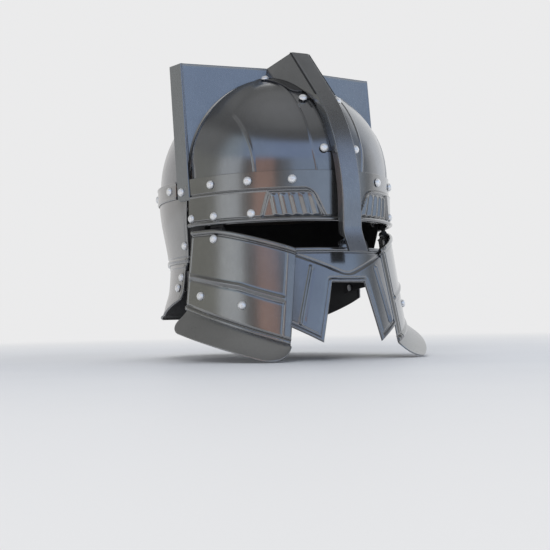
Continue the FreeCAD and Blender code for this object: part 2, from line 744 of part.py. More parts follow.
def crown_shell(out):
    """Solid under the tongues, grown by out from the head's seat."""
    inset = liner_out - leather - GAP + out
    rise = SEAT - size("liner_high") + out
    foot = Vector(0, 0, level(size("liner_high")))
    halves = [half_bullet(HALF + inset, size("reach_front") + inset, rise, TONGUE_WALL, FRONT_HALF)]
    halves.append(half_bullet(HALF + inset, size("reach_back") + inset, rise, TONGUE_WALL, BACK_HALF))
    shell = halves[0].fuse(halves[1])
    shell.translate(foot)
    return shell


tongues = crown_shell(leather).cut(crown_shell(0))
slot = size("tongue_slot")
cutters = [Part.makeCylinder(size("crown_hole"), FAR, Vector(0, 0, -FAR / 2))]
TONGUE_COUNT = int(size("tongue_count"))
for number in range(TONGUE_COUNT // 2):
    cutter = Part.makeBox(2 * FAR, slot, FAR, Vector(-FAR, -slot / 2, -FAR / 2))
    turn = 360 / TONGUE_COUNT * (number + 0.5)
    cutter.rotate(Vector(0, 0, 0), UP, turn)
    cutters.append(cutter)
node("liner_tongues", tongues.cut(cutters))

lace_ring = doc.addObject("Part::Torus", "liner_lace")
lace_ring.Label = "liner_lace"
lace_ring.setExpression("Radius1", "Sizes.crown_hole + Sizes.lace_radius + 1")
lace_ring.setExpression("Radius2", "Sizes.lace_radius")
LACE_LIFT = 2.6
lace_ring.Placement = FreeCAD.Placement(Vector(0, 0, leather + LACE_LIFT - 1), FreeCAD.Rotation())
made.append(lace_ring)

# ---- rivets in place ----------------------------------------------------

UPPER_HIGH, LOWER_HIGH = 34.7, 7.5
STAY_RIVET_ANGLE = 74
two_sheets = 2 * GAUGE + GAP + HEAD_SEAT_PLAY
lined = two_sheets + leather + 2 * GAP
bracketed = two_sheets + GAUGE + 4 * GAP
HINGES = ("hinge_upper_right", "hinge_upper_left")
STAYS = ("side_stay_right", "side_stay_left")

rivet_group("brow_rivets_upper", both_sides([band_place(-angle, UPPER_HIGH) for angle in (24.5, 44.4, 62.6)]),
            lined, ("brow_band", "skull_front", "liner_headband"))
rivet_group("brow_rivets_lower", both_sides([band_place(-43, LOWER_HIGH)]),
            two_sheets, ("brow_band", "skull_front"))
rivet_group("hinge_rivets_upper", both_sides([band_place(-hinge_angle, LOWER_HIGH)]),
            bracketed, ("brow_band", "skull_front") + HINGES)
rivet_group("stay_rivets_upper", both_sides([band_place(-STAY_RIVET_ANGLE, LOWER_HIGH)]),
            bracketed + 1.2, ("brow_band", "skull_front") + STAYS)

REAR_ANGLES = (90, 122, 151)
rear_places = both_sides([band_place(-angle, UPPER_HIGH, GAP + GAUGE) for angle in REAR_ANGLES])
rear_places.append(band_place(180, UPPER_HIGH, GAP + GAUGE))
rivet_group("rear_band_rivets", rear_places, lined + GAUGE + GAP,
            ("rear_band", "neck_guard", "skull_rear", "liner_headband"))

FLANGE_RIVET_HIGH, FLANGE_RIVET_SHARE = 32, 0.66
flange_spot = crest_point(flange_x, FLANGE_RIVET_HIGH) + flange_out * FLANGE_RIVET_SHARE
flange_spot += flange_normal * (GAUGE + HEAD_SEAT_PLAY)
rivet_group("crest_rivets", both_sides([(flange_spot, flange_normal)]), lined + GAUGE + 4 * GAP,
            ("crest_wing_right", "crest_wing_left", "neck_guard", "skull_rear", "liner_headband"))

strap_out = GAP + GAUGE
rivet_group("crown_strap_rivets", both_sides([dome_place(-22.4, -36.7, strap_out)]),
            two_sheets, ("crown_strap", "skull_front"))
rivet_group("comb_rivets_upper", both_sides([dome_place(-16.8, -94.5, strap_out)]),
            two_sheets, ("comb_saddle_upper", "skull_front"))
rivet_group("comb_rivets_lower", both_sides([dome_place(-14.7, -124.4, strap_out)]),
            two_sheets, ("comb_saddle_lower", "skull_front"))

NECK_PLAY = 0.15


def neck_place(angle, height, profile):
    """A rivet's place on a neck plate, square to the plate's slope."""
    below = [corner for corner in profile if corner[1] <= height][0]
    above = [corner for corner in profile if corner[1] > height][-1]
    slope_out = (above[0] - below[0]) / (above[1] - below[1])
    normal = (outward(angle) - UP * slope_out).normalize()
    out = below[0] + slope_out * (height - below[1]) + NECK_PLAY
    return at(angle, height, out) + normal * HEAD_SEAT_PLAY, normal


rivet_group("neck_rivets", both_sides([neck_place(-83.4, -14.5, UPPER_NECK)]),
            bracketed + 1.5, ("neck_guard",) + STAYS)
LAP_ANGLES = (128, 154, 180, 206, 232)
lap_places = [neck_place(angle, neck_lap + 2, UPPER_NECK) for angle in LAP_ANGLES]
rivet_group("neck_lap_rivets", lap_places, two_sheets + 1.6, ("neck_guard", "neck_lame"))
REST_SPOTS = ((89.5, -41.7), (92.6, -50.9))
rest_places = both_sides([neck_place(-angle, height, LOWER_NECK) for angle, height in REST_SPOTS])
rivet_group("rest_rivets", rest_places, two_sheets + 2.3,
            ("neck_lame", "cheek_rest_right", "cheek_rest_left"))

LEAF_RIVET_HIGH = -11.8
leaf_place = face_place(-hinge_angle, LEAF_RIVET_HIGH)
SKIRT_SPOTS = ((65.9, -59.8), (45.6, -68.6))
skirt_places = [face_place(-angle, height) for angle, height in SKIRT_SPOTS]
for side, side_name in SIDE_NAMES:
    turn = lambda v: Vector(-side * v.x, v.y, v.z)
    leaf_rivet = [(turn(leaf_place[0]), turn(leaf_place[1]))]
    rivet_group("hinge_rivet_lower_" + side_name, leaf_rivet, two_sheets + 4 * GAP,
                ("cheek_guard_" + side_name, "hinge_lower_" + side_name))
    rivet_group("skirt_rivets_" + side_name, [(turn(p), turn(n)) for p, n in skirt_places],
                two_sheets + GAP, ("cheek_guard_" + side_name, "cheek_skirt_" + side_name))

drill_holes()
doc.recompute()

# ---- check and export ---------------------------------------------------

for item in doc.Objects:
    if {"Invalid", "Error"} & set(item.State):
        raise RuntimeError("failed object: " + item.Label)
for feature in made:
    shape = feature.Shape
    if shape.isNull() or not shape.isValid():
        raise RuntimeError("bad shape: " + feature.Label)
for feature in made:
    feature.Shape.exportStep("parts/" + feature.Label + ".step")
    print(feature.Label, len(feature.Shape.Solids), round(feature.Shape.Volume))
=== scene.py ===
import math
import bmesh
import bpy
import numpy as np
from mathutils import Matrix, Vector

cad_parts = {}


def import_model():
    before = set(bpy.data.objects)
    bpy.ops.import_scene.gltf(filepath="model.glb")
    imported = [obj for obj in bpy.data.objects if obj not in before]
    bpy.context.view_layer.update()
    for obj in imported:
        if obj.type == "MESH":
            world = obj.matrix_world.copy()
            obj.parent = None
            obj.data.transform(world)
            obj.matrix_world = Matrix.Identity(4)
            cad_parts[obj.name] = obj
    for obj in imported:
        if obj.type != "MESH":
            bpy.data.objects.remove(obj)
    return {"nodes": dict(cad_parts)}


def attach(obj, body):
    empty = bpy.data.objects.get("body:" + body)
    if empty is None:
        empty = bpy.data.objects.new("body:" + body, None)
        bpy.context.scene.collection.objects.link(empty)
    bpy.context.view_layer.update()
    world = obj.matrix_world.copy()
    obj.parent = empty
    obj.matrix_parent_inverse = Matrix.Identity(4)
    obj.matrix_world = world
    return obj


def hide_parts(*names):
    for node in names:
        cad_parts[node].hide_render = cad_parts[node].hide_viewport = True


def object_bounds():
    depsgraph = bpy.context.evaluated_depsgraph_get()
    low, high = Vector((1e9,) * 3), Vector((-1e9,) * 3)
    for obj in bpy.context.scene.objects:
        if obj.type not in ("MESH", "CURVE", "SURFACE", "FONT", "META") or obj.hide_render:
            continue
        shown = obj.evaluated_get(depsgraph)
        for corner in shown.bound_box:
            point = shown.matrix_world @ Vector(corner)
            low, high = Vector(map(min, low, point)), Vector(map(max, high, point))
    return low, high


# Knight helmet: the looks. Lengths are in millimetres until a mesh is made.
# The frame is the CAD model's: +Z up, the face looks along -Y, +X is the
# wearer's left. Heights are measured from the brow rim, 122 mm under the seat.

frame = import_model()
cad_low, cad_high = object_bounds()
nodes = frame["nodes"]

MM = 0.001
FAR_AWAY = 1e9
SEAT = 122.0
HALF, REACH_FRONT, REACH_BACK = 100.0, 129.5, 121.0
GAUGE, GAP = 1.2, 0.2
LOOSE = GAUGE + GAP
DOME_RISE, BAND_TOP = 99.0, 42.0
SPLIT = -31.0
SIDES = ((-1, "right"), (1, "left"))


# ---- helmet surfaces, as in the CAD model ----

def reach(turn):
    """Half length of the brow plan: longer in front than at the back."""
    return np.where(np.cos(turn) > 0, REACH_FRONT, REACH_BACK)


def outward(angle):
    """Level direction square to the brow plan."""
    turn = np.radians(angle)
    x, y = np.sin(turn) / HALF, -np.cos(turn) / reach(turn)
    size = np.sqrt(x * x + y * y)
    return x / size, y / size


def at(angle, height, out=0.0):
    """Points of the brow plan, angle in degrees from the front towards +X."""
    angle, height, out = np.broadcast_arrays(np.asarray(angle, float), height, out)
    turn = np.radians(angle)
    nx, ny = outward(angle)
    x = HALF * np.sin(turn) + nx * out
    y = -reach(turn) * np.cos(turn) + ny * out
    return np.stack([x, y, height - SEAT], axis=-1)


def flare(angle, height):
    """How far the face plates stand out from the brow plan below the rim."""
    turn = np.radians(angle)
    return (-5.7 - height) * (0.11 * np.sin(turn) ** 2 + 0.19 * np.cos(turn) ** 2)


def on_face(angle, height, out=0.0):
    return at(angle, height, flare(angle, height) + out)


def blend(first, last, share):
    return first + (last - first) * share


def smooth(low, high, value):
    share = np.clip((value - low) / (high - low), 0, 1)
    return share * share * (3 - 2 * share)


def ridge(distance, width):
    """A round pressed line: 1 on it, falling away over its width."""
    return np.exp(-(distance / width) ** 2)


def dense(first, last, step, focus=(), fine=0.3, span=2.5):
    """Stations from first to last, closer together around each focus."""
    marks = [first]
    while marks[-1] < last:
        near = min([abs(marks[-1] - place) for place in focus], default=FAR_AWAY)
        coarse = min(step, fine + (near - span) * 0.5)
        marks.append(marks[-1] + (fine if near < span else coarse))
    marks[-1] = last
    return np.array(marks)


def mirrored(stations):
    """Stations on both sides of a middle one at 0."""
    return np.concatenate([-stations[:0:-1], stations])


def rolled(distance, radius, stand):
    """Section of a rolled edge: a half-round bead along distance 0..2 radius."""
    return stand * np.sqrt(np.clip(1 - ((distance - radius) / radius) ** 2, 0, 1))


# ---- mesh making ----

def unit(vectors):
    return vectors / np.maximum(np.linalg.norm(vectors, axis=-1, keepdims=True), 1e-9)


def normals_of(points, hint):
    along = np.gradient(points, axis=0)
    across = np.gradient(points, axis=1)
    normal = unit(np.cross(along, across))
    return normal if np.sum(normal * hint) > 0 else -normal


def grid_quads(rows, columns, start=0):
    index = start + np.arange(rows * columns).reshape(rows, columns)
    quads = np.stack([index[:-1, :-1], index[1:, :-1], index[1:, 1:], index[:-1, 1:]], axis=-1)
    return index, quads.reshape(-1, 4)


def loop_of(index):
    return np.concatenate([index[:, 0], index[-1, 1:], index[-2::-1, -1], index[0, -2:0:-1]])


EDGE_SHARE = 0.28


def plate_mesh(points, relief=0.0, thick=GAUGE, hint=None, edge=0.3):
    """Vertices and faces of a bent plate with rounded edges."""
    if hint is None:
        hint = points * np.array([1.0, 1.0, 0.0])
    normal = normals_of(points, hint)
    relief = np.broadcast_to(np.asarray(relief, float), points.shape[:2])[..., None]
    outer = points + normal * relief
    inner = points + normal * (relief - thick)
    rows, columns = points.shape[:2]
    index, top = grid_quads(rows, columns)
    _, bottom = grid_quads(rows, columns, rows * columns)
    centre_out = np.zeros_like(outer)
    centre_out[0] += unit(outer[0] - outer[1])
    centre_out[-1] += unit(outer[-1] - outer[-2])
    centre_out[:, 0] += unit(outer[:, 0] - outer[:, 1])
    centre_out[:, -1] += unit(outer[:, -1] - outer[:, -2])
    loop = loop_of(index)
    flat_outer, flat_inner = outer.reshape(-1, 3), inner.reshape(-1, 3)
    push = centre_out.reshape(-1, 3)[loop] * edge
    middle_high = blend(flat_outer[loop], flat_inner[loop], EDGE_SHARE) + push
    middle_low = blend(flat_inner[loop], flat_outer[loop], EDGE_SHARE) + push
    middle = 2 * rows * columns + np.arange(len(loop))
    rings = [loop, middle, middle + len(loop), loop + rows * columns]
    quads = [top, bottom[:, ::-1]]
    for first, second in zip(rings, rings[1:]):
        quads.append(np.stack([first, np.roll(first, -1), np.roll(second, -1), second], axis=-1))
    vertices = np.concatenate([flat_outer, flat_inner, middle_high, middle_low])
    inside = np.zeros(sum(map(len, quads)), int)
    inside[len(top):2 * len(top)] = 1
    return vertices, np.concatenate(quads), inside


def joined(*parts):
    """Several vertex and face sets as one."""
    vertices, faces, inside, start = [], [], [], 0
    for part_vertices, part_faces, part_inside in parts:
        vertices.append(part_vertices)
        faces.append(part_faces + start)
        inside.append(part_inside)
        start += len(part_vertices)
    return np.concatenate(vertices), np.concatenate(faces), np.concatenate(inside)


def on_side(mesh, side):
    """A mesh made for the wearer's right, mirrored for the left."""
    vertices, faces, inside = mesh
    return vertices * np.array([-side, 1.0, 1.0]), faces, inside


def make(name, mesh, material, body, replaced=(), sharp=38, inner=None):
    """Puts one piece in the scene and hangs it on its body."""
    vertices, faces, inside = mesh
    data = bpy.data.meshes.new(name)
    data.from_pydata((vertices * MM).tolist(), [], faces.tolist())
    data.polygons.foreach_set("material_index", inside)
    face_outwards(data)
    data.polygons.foreach_set("use_smooth", [True] * len(data.polygons))
    data.set_sharp_from_angle(angle=math.radians(sharp))
    data.materials.append(material)
    # Inside faces get the near-black steel unless another is given: painted shade.
    data.materials.append(inner or shaded_inner_steel)
    piece = bpy.data.objects.new(name, data)
    bpy.context.scene.collection.objects.link(piece)
    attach(piece, body)
    if replaced:
        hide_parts(*replaced)
    return piece


def face_outwards(data):
    """Joins doubled points and turns every face outwards."""
    work = bmesh.new()
    work.from_mesh(data)
    bmesh.ops.remove_doubles(work, verts=work.verts, dist=0.00001)
    bmesh.ops.recalc_face_normals(work, faces=work.faces)
    work.to_mesh(data)
    work.free()


# ---- materials ----

class Nodes:
    """Small helper for building one node tree."""

    def __init__(self, tree):
        self.tree = tree

    @classmethod
    def material(cls, name):
        made = bpy.data.materials.new(name)
        made.use_nodes = True
        n = cls(made.node_tree)
        n.made = made
        n.shader = n.tree.nodes["Principled BSDF"]
        n.place = n.add("ShaderNodeTexCoord").outputs["Object"]
        return n

    def add(self, kind, **inputs):
        made = self.tree.nodes.new(kind)
        for key, value in inputs.items():
            self.put(made.inputs[key.replace("_", " ")], value)
        return made

    def put(self, socket, value):
        if isinstance(value, bpy.types.NodeSocket):
            self.tree.links.new(value, socket)
        else:
            socket.default_value = value

    def stretched(self, scale):
        return self.add("ShaderNodeMapping", Vector=self.place, Scale=scale).outputs["Vector"]

    def noise(self, scale, detail=3.0, rough=0.55, stretch=None, distortion=0.0):
        where = self.stretched(stretch) if stretch else self.place
        made = self.add("ShaderNodeTexNoise", Vector=where, Scale=scale, Detail=detail,
                        Roughness=rough, Distortion=distortion)
        return made.outputs["Fac"]

    def span(self, value, low, high, first, last):
        made = self.add("ShaderNodeMapRange", Value=value, From_Min=low, From_Max=high,
                        To_Min=first, To_Max=last)
        return made.outputs["Result"]

    def maths(self, operation, first, second=0.0):
        made = self.tree.nodes.new("ShaderNodeMath")
        made.operation = operation
        self.put(made.inputs[0], first)
        self.put(made.inputs[1], second)
        return made.outputs["Value"]

    def ramp(self, value, stops):
        """Colour ramp over (position, colour) stops."""
        made = self.add("ShaderNodeValToRGB", Fac=value)
        made.color_ramp.interpolation = "EASE"
        marks = made.color_ramp.elements
        marks[0].position, marks[0].color = stops[0]
        marks[1].position, marks[1].color = stops[-1]
        for position, colour in stops[1:-1]:
            marks.new(position).color = colour
        return made.outputs["Color"]

    def mix(self, share, first, last):
        made = self.tree.nodes.new("ShaderNodeMix")
        made.data_type = "RGBA"
        self.put(made.inputs["Factor"], share)
        self.put(made.inputs["A"], first)
        self.put(made.inputs["B"], last)
        return made.outputs["Result"]

    def bump(self, height, strength, distance, below=None):
        made = self.add("ShaderNodeBump", Strength=strength, Distance=distance, Height=height)
        if below is not None:
            self.put(made.inputs["Normal"], below)
        return made.outputs["Normal"]


def tone(red, green, blue):
    return (red, green, blue, 1.0)


def steel(name, dark, light, rough_low, rough_high, coat=0.35, coat_rough=0.12, brush=0.25,
          brush_stretch=(1.0, 1.0, 0.03), wave=0.06, metallic=0.92):
    """Blackened, polished sheet steel with smudges, brushing and fine scratches."""
    n = Nodes.material(name)
    smudge = n.noise(18, 4, 0.6)
    cloud = n.noise(7, 2, 0.5)
    brushing = n.noise(900, 3, 0.7, stretch=brush_stretch)
    grain = n.noise(2600, 2, 0.6)
    scratch = n.noise(60, 5, 0.75, stretch=(1.0, 1.0, 0.35), distortion=2.2)
    off_line = n.maths("ABSOLUTE", n.maths("SUBTRACT", scratch, 0.5))
    scratch_line = n.span(off_line, 0.0, 0.006, 1.0, 0.0)
    base = n.mix(n.span(smudge, 0.35, 0.7, 0.0, 1.0), dark, light)
    worn = n.maths("MULTIPLY", scratch_line, 0.25)
    bare = tone(*[min(1.0, 1.9 * channel) for channel in light[:3]])
    n.put(n.shader.inputs["Base Color"], n.mix(worn, base, bare))
    rough = n.span(cloud, 0.3, 0.7, rough_low, rough_high)
    rough = n.maths("ADD", rough, n.span(brushing, 0.3, 0.7, -0.02, 0.04))
    n.put(n.shader.inputs["Roughness"], rough)
    n.shader.inputs["Metallic"].default_value = metallic
    n.shader.inputs["Coat Weight"].default_value = coat
    n.shader.inputs["Coat Roughness"].default_value = coat_rough
    waves = n.bump(n.noise(11, 2, 0.45), wave, 0.01)
    brushed = n.bump(brushing, brush, 0.00006, waves)
    n.put(n.shader.inputs["Normal"], n.bump(grain, 0.04, 0.00003, brushed))
    return n.made


def leather(name, dark, light):
    """Creased leather with pores."""
    n = Nodes.material(name)
    patches = n.noise(22, 4, 0.6)
    pores = n.add("ShaderNodeTexVoronoi", Vector=n.place, Scale=900.0).outputs["Distance"]
    creases = n.noise(120, 5, 0.65, distortion=0.8)
    n.put(n.shader.inputs["Base Color"], n.mix(n.span(patches, 0.3, 0.7, 0.0, 1.0), dark, light))
    n.put(n.shader.inputs["Roughness"], n.span(creases, 0.3, 0.7, 0.42, 0.66))
    n.shader.inputs["Coat Weight"].default_value = 0.08
    low = n.bump(creases, 0.45, 0.0006)
    n.put(n.shader.inputs["Normal"], n.bump(pores, 0.35, 0.0003, low))
    return n.made


black_steel = steel("blackened_steel", tone(0.22, 0.225, 0.235), tone(0.27, 0.275, 0.285),
                    0.13, 0.21, wave=0.03)
band_steel = steel("band_steel", tone(0.24, 0.24, 0.24), tone(0.29, 0.29, 0.29),
                   0.14, 0.22, wave=0.03)
cheek_steel = steel("cheek_steel", tone(0.24, 0.24, 0.24), tone(0.29, 0.29, 0.285),
                    0.13, 0.20, wave=0.02)
strip_steel = steel("strip_steel", tone(0.23, 0.235, 0.245), tone(0.29, 0.295, 0.305),
                    0.24, 0.32, coat=0.15, brush=0.6)
# Lighter copy of the cheek steel for the skirts: painted light, standing in for the brighter light
# the skirts catch.
lit_skirt_steel = steel("lit_skirt_steel", tone(0.32, 0.32, 0.315), tone(0.37, 0.37, 0.365),
                    0.24, 0.32, coat=0.1, brush=0.1)
# Near-black steel for the inside face of every plate and for the fittings inside: painted shade for
# the helmet's dark inside.
shaded_inner_steel = steel("shaded_inner_steel", tone(0.035, 0.035, 0.036), tone(0.05, 0.05, 0.05),
                    0.5, 0.62, coat=0.0, brush=0.05, wave=0.0, metallic=0.6)
crest_steel = steel("crest_steel", tone(0.25, 0.265, 0.285), tone(0.28, 0.295, 0.315),
                    0.24, 0.30, wave=0.012, brush=0.08)
rivet_steel = steel("rivet_steel", tone(0.78, 0.78, 0.78), tone(0.86, 0.86, 0.86),
                    0.24, 0.34, coat=0.0, brush=0.03, wave=0.0, metallic=0.6)
# Darker copy of the blackened steel for the crown strap and the comb saddle straps: painted shade
# where the comb shadows the crown.
shaded_strap_steel = steel("shaded_strap_steel", tone(0.09, 0.092, 0.098), tone(0.12, 0.122, 0.13),
                   0.14, 0.2, wave=0.02)
liner_leather = leather("liner_leather", tone(0.022, 0.017, 0.014), tone(0.05, 0.037, 0.028))
lace_leather = leather("lace", tone(0.06, 0.035, 0.02), tone(0.12, 0.07, 0.04))

HIDDEN_FITTINGS = ("hinge_upper", "hinge_lower", "hinge_pin", "side_stay", "cheek_rest",
                   "comb_saddle")


def material_of(name):
    """Material of a CAD node that stays in the scene."""
    if name == "liner_lace":
        return lace_leather
    if name in ("liner_headband", "liner_tongues"):
        return liner_leather
    # Fittings inside the helmet get the near-black steel: painted shade.
    if name.startswith(HIDDEN_FITTINGS):
        return shaded_inner_steel
    return rivet_steel if "rivet" in name else black_steel


for name, piece in nodes.items():
    piece.data.materials.clear()
    piece.data.materials.append(material_of(name))

# ---- skull ----

RIB_HEIGHTS = (43.0, 60.0, 104.0, 124.0, 138.0)
INNER_RIB = (22.0, 24.2, 24.2, 22.5, 18.5)
OUTER_RIB = (65.0, 65.5, 68.5, 70.0, 70.0)
OUTER_RIB_END = -59.0
RIB_COLUMNS = (19.5, 22.5, 24.2, 65.5, 67.5)
RIB_STAND, COVE_STAND, GUTTER_DEPTH = 0.55, 3.4, 2.2
SKULL_SIDE = 94.8
COVE_X = (0.0, 26.0, 44.0, 56.0, 68.0, 77.0, 84.0, 90.0, 96.0)
COVE_Y = (-34.0, -36.0, -52.5, -58.0, -61.5, -59.0, -54.5, -47.0, -34.5)


def dome_relief(points):
    """Pressed ribs, and the cove where the front skull rises to meet the crest."""
    x, y, z = np.abs(points[..., 0]), points[..., 1], points[..., 2] + SEAT
    total = np.zeros(x.shape)
    for line, end_y in ((INNER_RIB, SPLIT), (OUTER_RIB, OUTER_RIB_END)):
        away = x - np.interp(z, RIB_HEIGHTS, line)
        fade = smooth(end_y + 1, end_y - 8, y) * smooth(BAND_TOP - 8, BAND_TOP, z)
        total += RIB_STAND * ridge(away, 0.7) * fade
    start = np.interp(x, COVE_X, COVE_Y)
    cove = np.clip((y - start) / (SPLIT - start), 0, 1) ** 1.4
    total -= GUTTER_DEPTH * ridge(y - SPLIT, 2.6) * smooth(20, 34, x)
    rise = smooth(8, 34, x) * smooth(BAND_TOP - 6, BAND_TOP + 44, z)
    return total + COVE_STAND * cove * rise


def skull_front():
    """The front half of the skull: an upright wall, then the dome back to the crest."""
    columns = mirrored(dense(0.0, SKULL_SIDE, 2.0, RIB_COLUMNS, 0.35, 2.5))
    wide, deep = HALF - LOOSE, REACH_FRONT - LOOSE
    scale = np.sqrt(1 - (columns / wide) ** 2)
    wall = np.linspace(0.5, BAND_TOP, 14)[:-1]
    rows = []
    for height in wall:
        rows.append(np.stack([columns, -deep * scale, np.full(columns.shape, height)], axis=-1))
    last_turn = np.arccos(np.clip(-SPLIT / (deep * scale), -1, 1))
    for share in np.linspace(0, 1, 90):
        turn = last_turn * share
        rows.append(np.stack([columns, -deep * scale * np.cos(turn),
                              BAND_TOP + DOME_RISE * scale * np.sin(turn)], axis=-1))
    points = np.stack(rows, axis=1)
    points[..., 2] -= SEAT
    hint = points - np.array([0, 0, BAND_TOP - SEAT - 60])
    mesh = plate_mesh(points, dome_relief(points), hint=hint)
    make("skull_front_shell", mesh, black_steel, "helmet", ["skull_front"], 55)


skull_front()


def on_dome(x, y, out):
    """Points of the front dome above plan points, out from its steel."""
    wide, deep = HALF - LOOSE + out, REACH_FRONT - LOOSE + out
    lift = (DOME_RISE + out) * np.sqrt(np.clip(1 - (x / wide) ** 2 - (y / deep) ** 2, 0, 1))
    return np.stack(np.broadcast_arrays(x, y, BAND_TOP + lift - SEAT), axis=-1)


UP = np.array([0.0, 0.0, 1.0])
FORWARD = np.array([0.0, -1.0, 0.0])
SIDEWAYS = np.array([-1.0, 0.0, 0.0])
STRAP_BACK, STRAP_FRONT = 31.6, 86.5
STRAP_STATIONS = (STRAP_BACK, 45.6, 70.0, 78.0, 83.0, 85.5, STRAP_FRONT)
STRAP_HALVES = (24.8, 24.6, 22.6, 21.8, 19.5, 16.0, 13.0)


def crown_strap():
    """Flange over the crown that carries the comb; its side edge follows the inner rib."""
    y = -dense(STRAP_BACK, STRAP_FRONT, 1.5, (STRAP_FRONT,), 0.3, 4.0)
    edge = np.interp(-y, STRAP_STATIONS, STRAP_HALVES)
    shares = mirrored(dense(0.0, 1.0, 0.06, (1.0,), 0.012, 0.06))
    x = edge[None, :] * shares[:, None]
    inside = (1 - np.abs(shares))[:, None] * edge[None, :]
    points = on_dome(x, np.broadcast_to(y[None, :], x.shape), LOOSE)
    mesh = plate_mesh(points, 0.35 * rolled(inside, 1.0, 1.0), hint=UP, edge=0.2)
    # Made in the darker strap steel: painted shade under the comb.
    make("crown_strap_plate", mesh, shaded_strap_steel, "helmet", ["crown_strap"], 50)


crown_strap()


UPPER_SADDLE_HALF, UPPER_SADDLE_Y = 19.2, (-96.4, -92.6)
LOWER_SADDLE_HALF, LOWER_SADDLE_HIGH = 16.9, (58.3, 61.7)


def saddle_grid(half, ends):
    """Stations across a saddle strap and along its short way."""
    across = dense(-half, half, 1.5, (-half, half), 0.3, 1.5)
    return np.meshgrid(across, dense(*ends, 0.8, ends, 0.25, 0.8), indexing="ij")


def saddles():
    """Slim straps under the comb that its front rivets go through."""
    # Both straps use the darker strap steel: painted shade under the comb.
    x, y = saddle_grid(UPPER_SADDLE_HALF, UPPER_SADDLE_Y)
    mesh = plate_mesh(on_dome(x, y, LOOSE), 0.0, hint=UP, edge=0.2)
    make("comb_saddle_strap_upper", mesh, shaded_strap_steel, "helmet", ["comb_saddle_upper"],
         50)
    x, high = saddle_grid(LOWER_SADDLE_HALF, LOWER_SADDLE_HIGH)
    climb = (high - BAND_TOP) / (DOME_RISE + LOOSE)
    y = -REACH_FRONT * np.sqrt(1 - (x / HALF) ** 2 - climb ** 2)
    points = np.stack([x, y, high - SEAT], axis=-1)
    mesh = plate_mesh(points, 0.0, hint=FORWARD, edge=0.2)
    make("comb_saddle_strap_lower", mesh, shaded_strap_steel, "helmet", ["comb_saddle_lower"],
         50)


saddles()

# ---- rear band ----

REAR_START = 84.4
REAR_LOW = 26.7
LIP_STAND = 0.45


def rear_band():
    """Band round the back of the skull, tucked under the crest's side flanges."""
    ends = (REAR_START, 360 - REAR_START)
    sides = dense(*ends, 2.4, ends, 0.4, 2.0)
    heights = dense(REAR_LOW, BAND_TOP, 1.6, (REAR_LOW, BAND_TOP), 0.25, 1.5)
    angle, height = np.meshgrid(sides, heights, indexing="ij")
    relief = rolled(BAND_TOP - height, 1.0, LIP_STAND) + rolled(height - REAR_LOW, 1.0, LIP_STAND)
    mesh = plate_mesh(at(angle, height, LOOSE + 0.05), relief, thick=0.9, edge=0.25)
    make("rear_band_pressed", mesh, band_steel, "helmet", ["rear_band"])


rear_band()

# ---- brow band ----

CREASE = 26.7
BAND_END = 75.5
PANEL_TOP, PANEL_LOW = 25.7, 4.6
PANEL_FRONT, PANEL_REAR = (15.1, 9.2), (35.3, 38.4)
PANEL_STATIONS = np.arange(8, 40, 2.0)
PANEL_DEPTH, PANEL_CORNER, FIELD_CORNER = 1.55, 5.0, 6.5
SLAT_START_LOW, SLAT_START_SHIFT = 13.0, 3.1
SLAT_PITCH_LOW, SLAT_PITCH_LOSS = 4.57, 0.24
SLAT_COUNT = 4.5
RIM_RADIUS, RIM_STAND = 1.9, 2.4
DEGREE = 1.95


def panel_edges(angle, height):
    """Distances behind the louvred panel's front edge and before its rear edge."""
    down = (PANEL_TOP - height) / (PANEL_TOP - PANEL_LOW)
    turn = np.abs(angle)
    front = (turn - blend(PANEL_FRONT[0], PANEL_FRONT[1], down)) * DEGREE
    rear = (blend(PANEL_REAR[0], PANEL_REAR[1], down) - turn) * DEGREE
    return front, rear, down


def corner_distance(first, second, corner):
    """Distance inside two crossing edges that meet in a round corner."""
    near = (first < corner) & (second < corner)
    inner = corner - np.hypot(np.clip(corner - first, 0, None), np.clip(corner - second, 0, None))
    return np.where(near, inner, np.minimum(first, second))


def lower_relief(angle, height):
    """The band below the crease: a raised field with the louvred panel in it."""
    front, rear, down = panel_edges(angle, height)
    field = corner_distance(front, CREASE - height, FIELD_CORNER)
    relief = 0.95 * smooth(-0.5, 0.5, field)
    relief += 0.35 * ridge(field - 0.8, 0.6) - 0.55 * ridge(field + 0.7, 0.5)
    inside = np.minimum(corner_distance(front - 1.2, PANEL_TOP - height, PANEL_CORNER), rear)
    panel = smooth(0.2, 2.2, inside) * smooth(3.9, 4.7, height)
    relief -= PANEL_DEPTH * panel
    rear_reach = smooth(3.8, 5.5, height) * smooth(CREASE - 0.5, CREASE - 2, height)
    relief += 0.6 * ridge(rear, 0.7) * rear_reach
    first_slat = SLAT_START_LOW + SLAT_START_SHIFT * (1 - down)
    place = (np.abs(angle) - first_slat) / (SLAT_PITCH_LOW - SLAT_PITCH_LOSS * (1 - down))
    across = np.abs(place - np.round(place))
    slat = (0.5 + 0.5 * np.cos(2 * math.pi * across)) ** 0.8
    slat *= smooth(-0.6, -0.4, place) * smooth(SLAT_COUNT + 0.15, SLAT_COUNT - 0.1, place)
    ends = smooth(PANEL_TOP - 0.6, PANEL_TOP - 5.0, height) * smooth(4.0, 6.5, height)
    return relief + PANEL_DEPTH * slat * ends * smooth(0.6, 2.6, inside)


def brow_band():
    """The band over the brow, with its rolled rim."""
    angles = mirrored(dense(0.0, BAND_END, 1.5, PANEL_STATIONS, 0.22, 2.2))
    heights = dense(0.0, BAND_TOP, 1.2, (0.5, 3.0, 6.5, CREASE - 1.0), 0.22, 2.4)
    angle, height = np.meshgrid(angles, heights, indexing="ij")
    relief = rolled(height, RIM_RADIUS, RIM_STAND) - 0.7 * ridge(height - 4.3, 0.6)
    relief += lower_relief(angle, height) * smooth(3.0, 4.4, height) - 0.3
    relief += 0.3 * smooth(3.0, 2.0, height)
    mesh = plate_mesh(at(angle, height), relief, edge=0.3)
    make("brow_band_pressed", mesh, band_steel, "helmet", ["brow_band"])


brow_band()

# ---- face mask ----

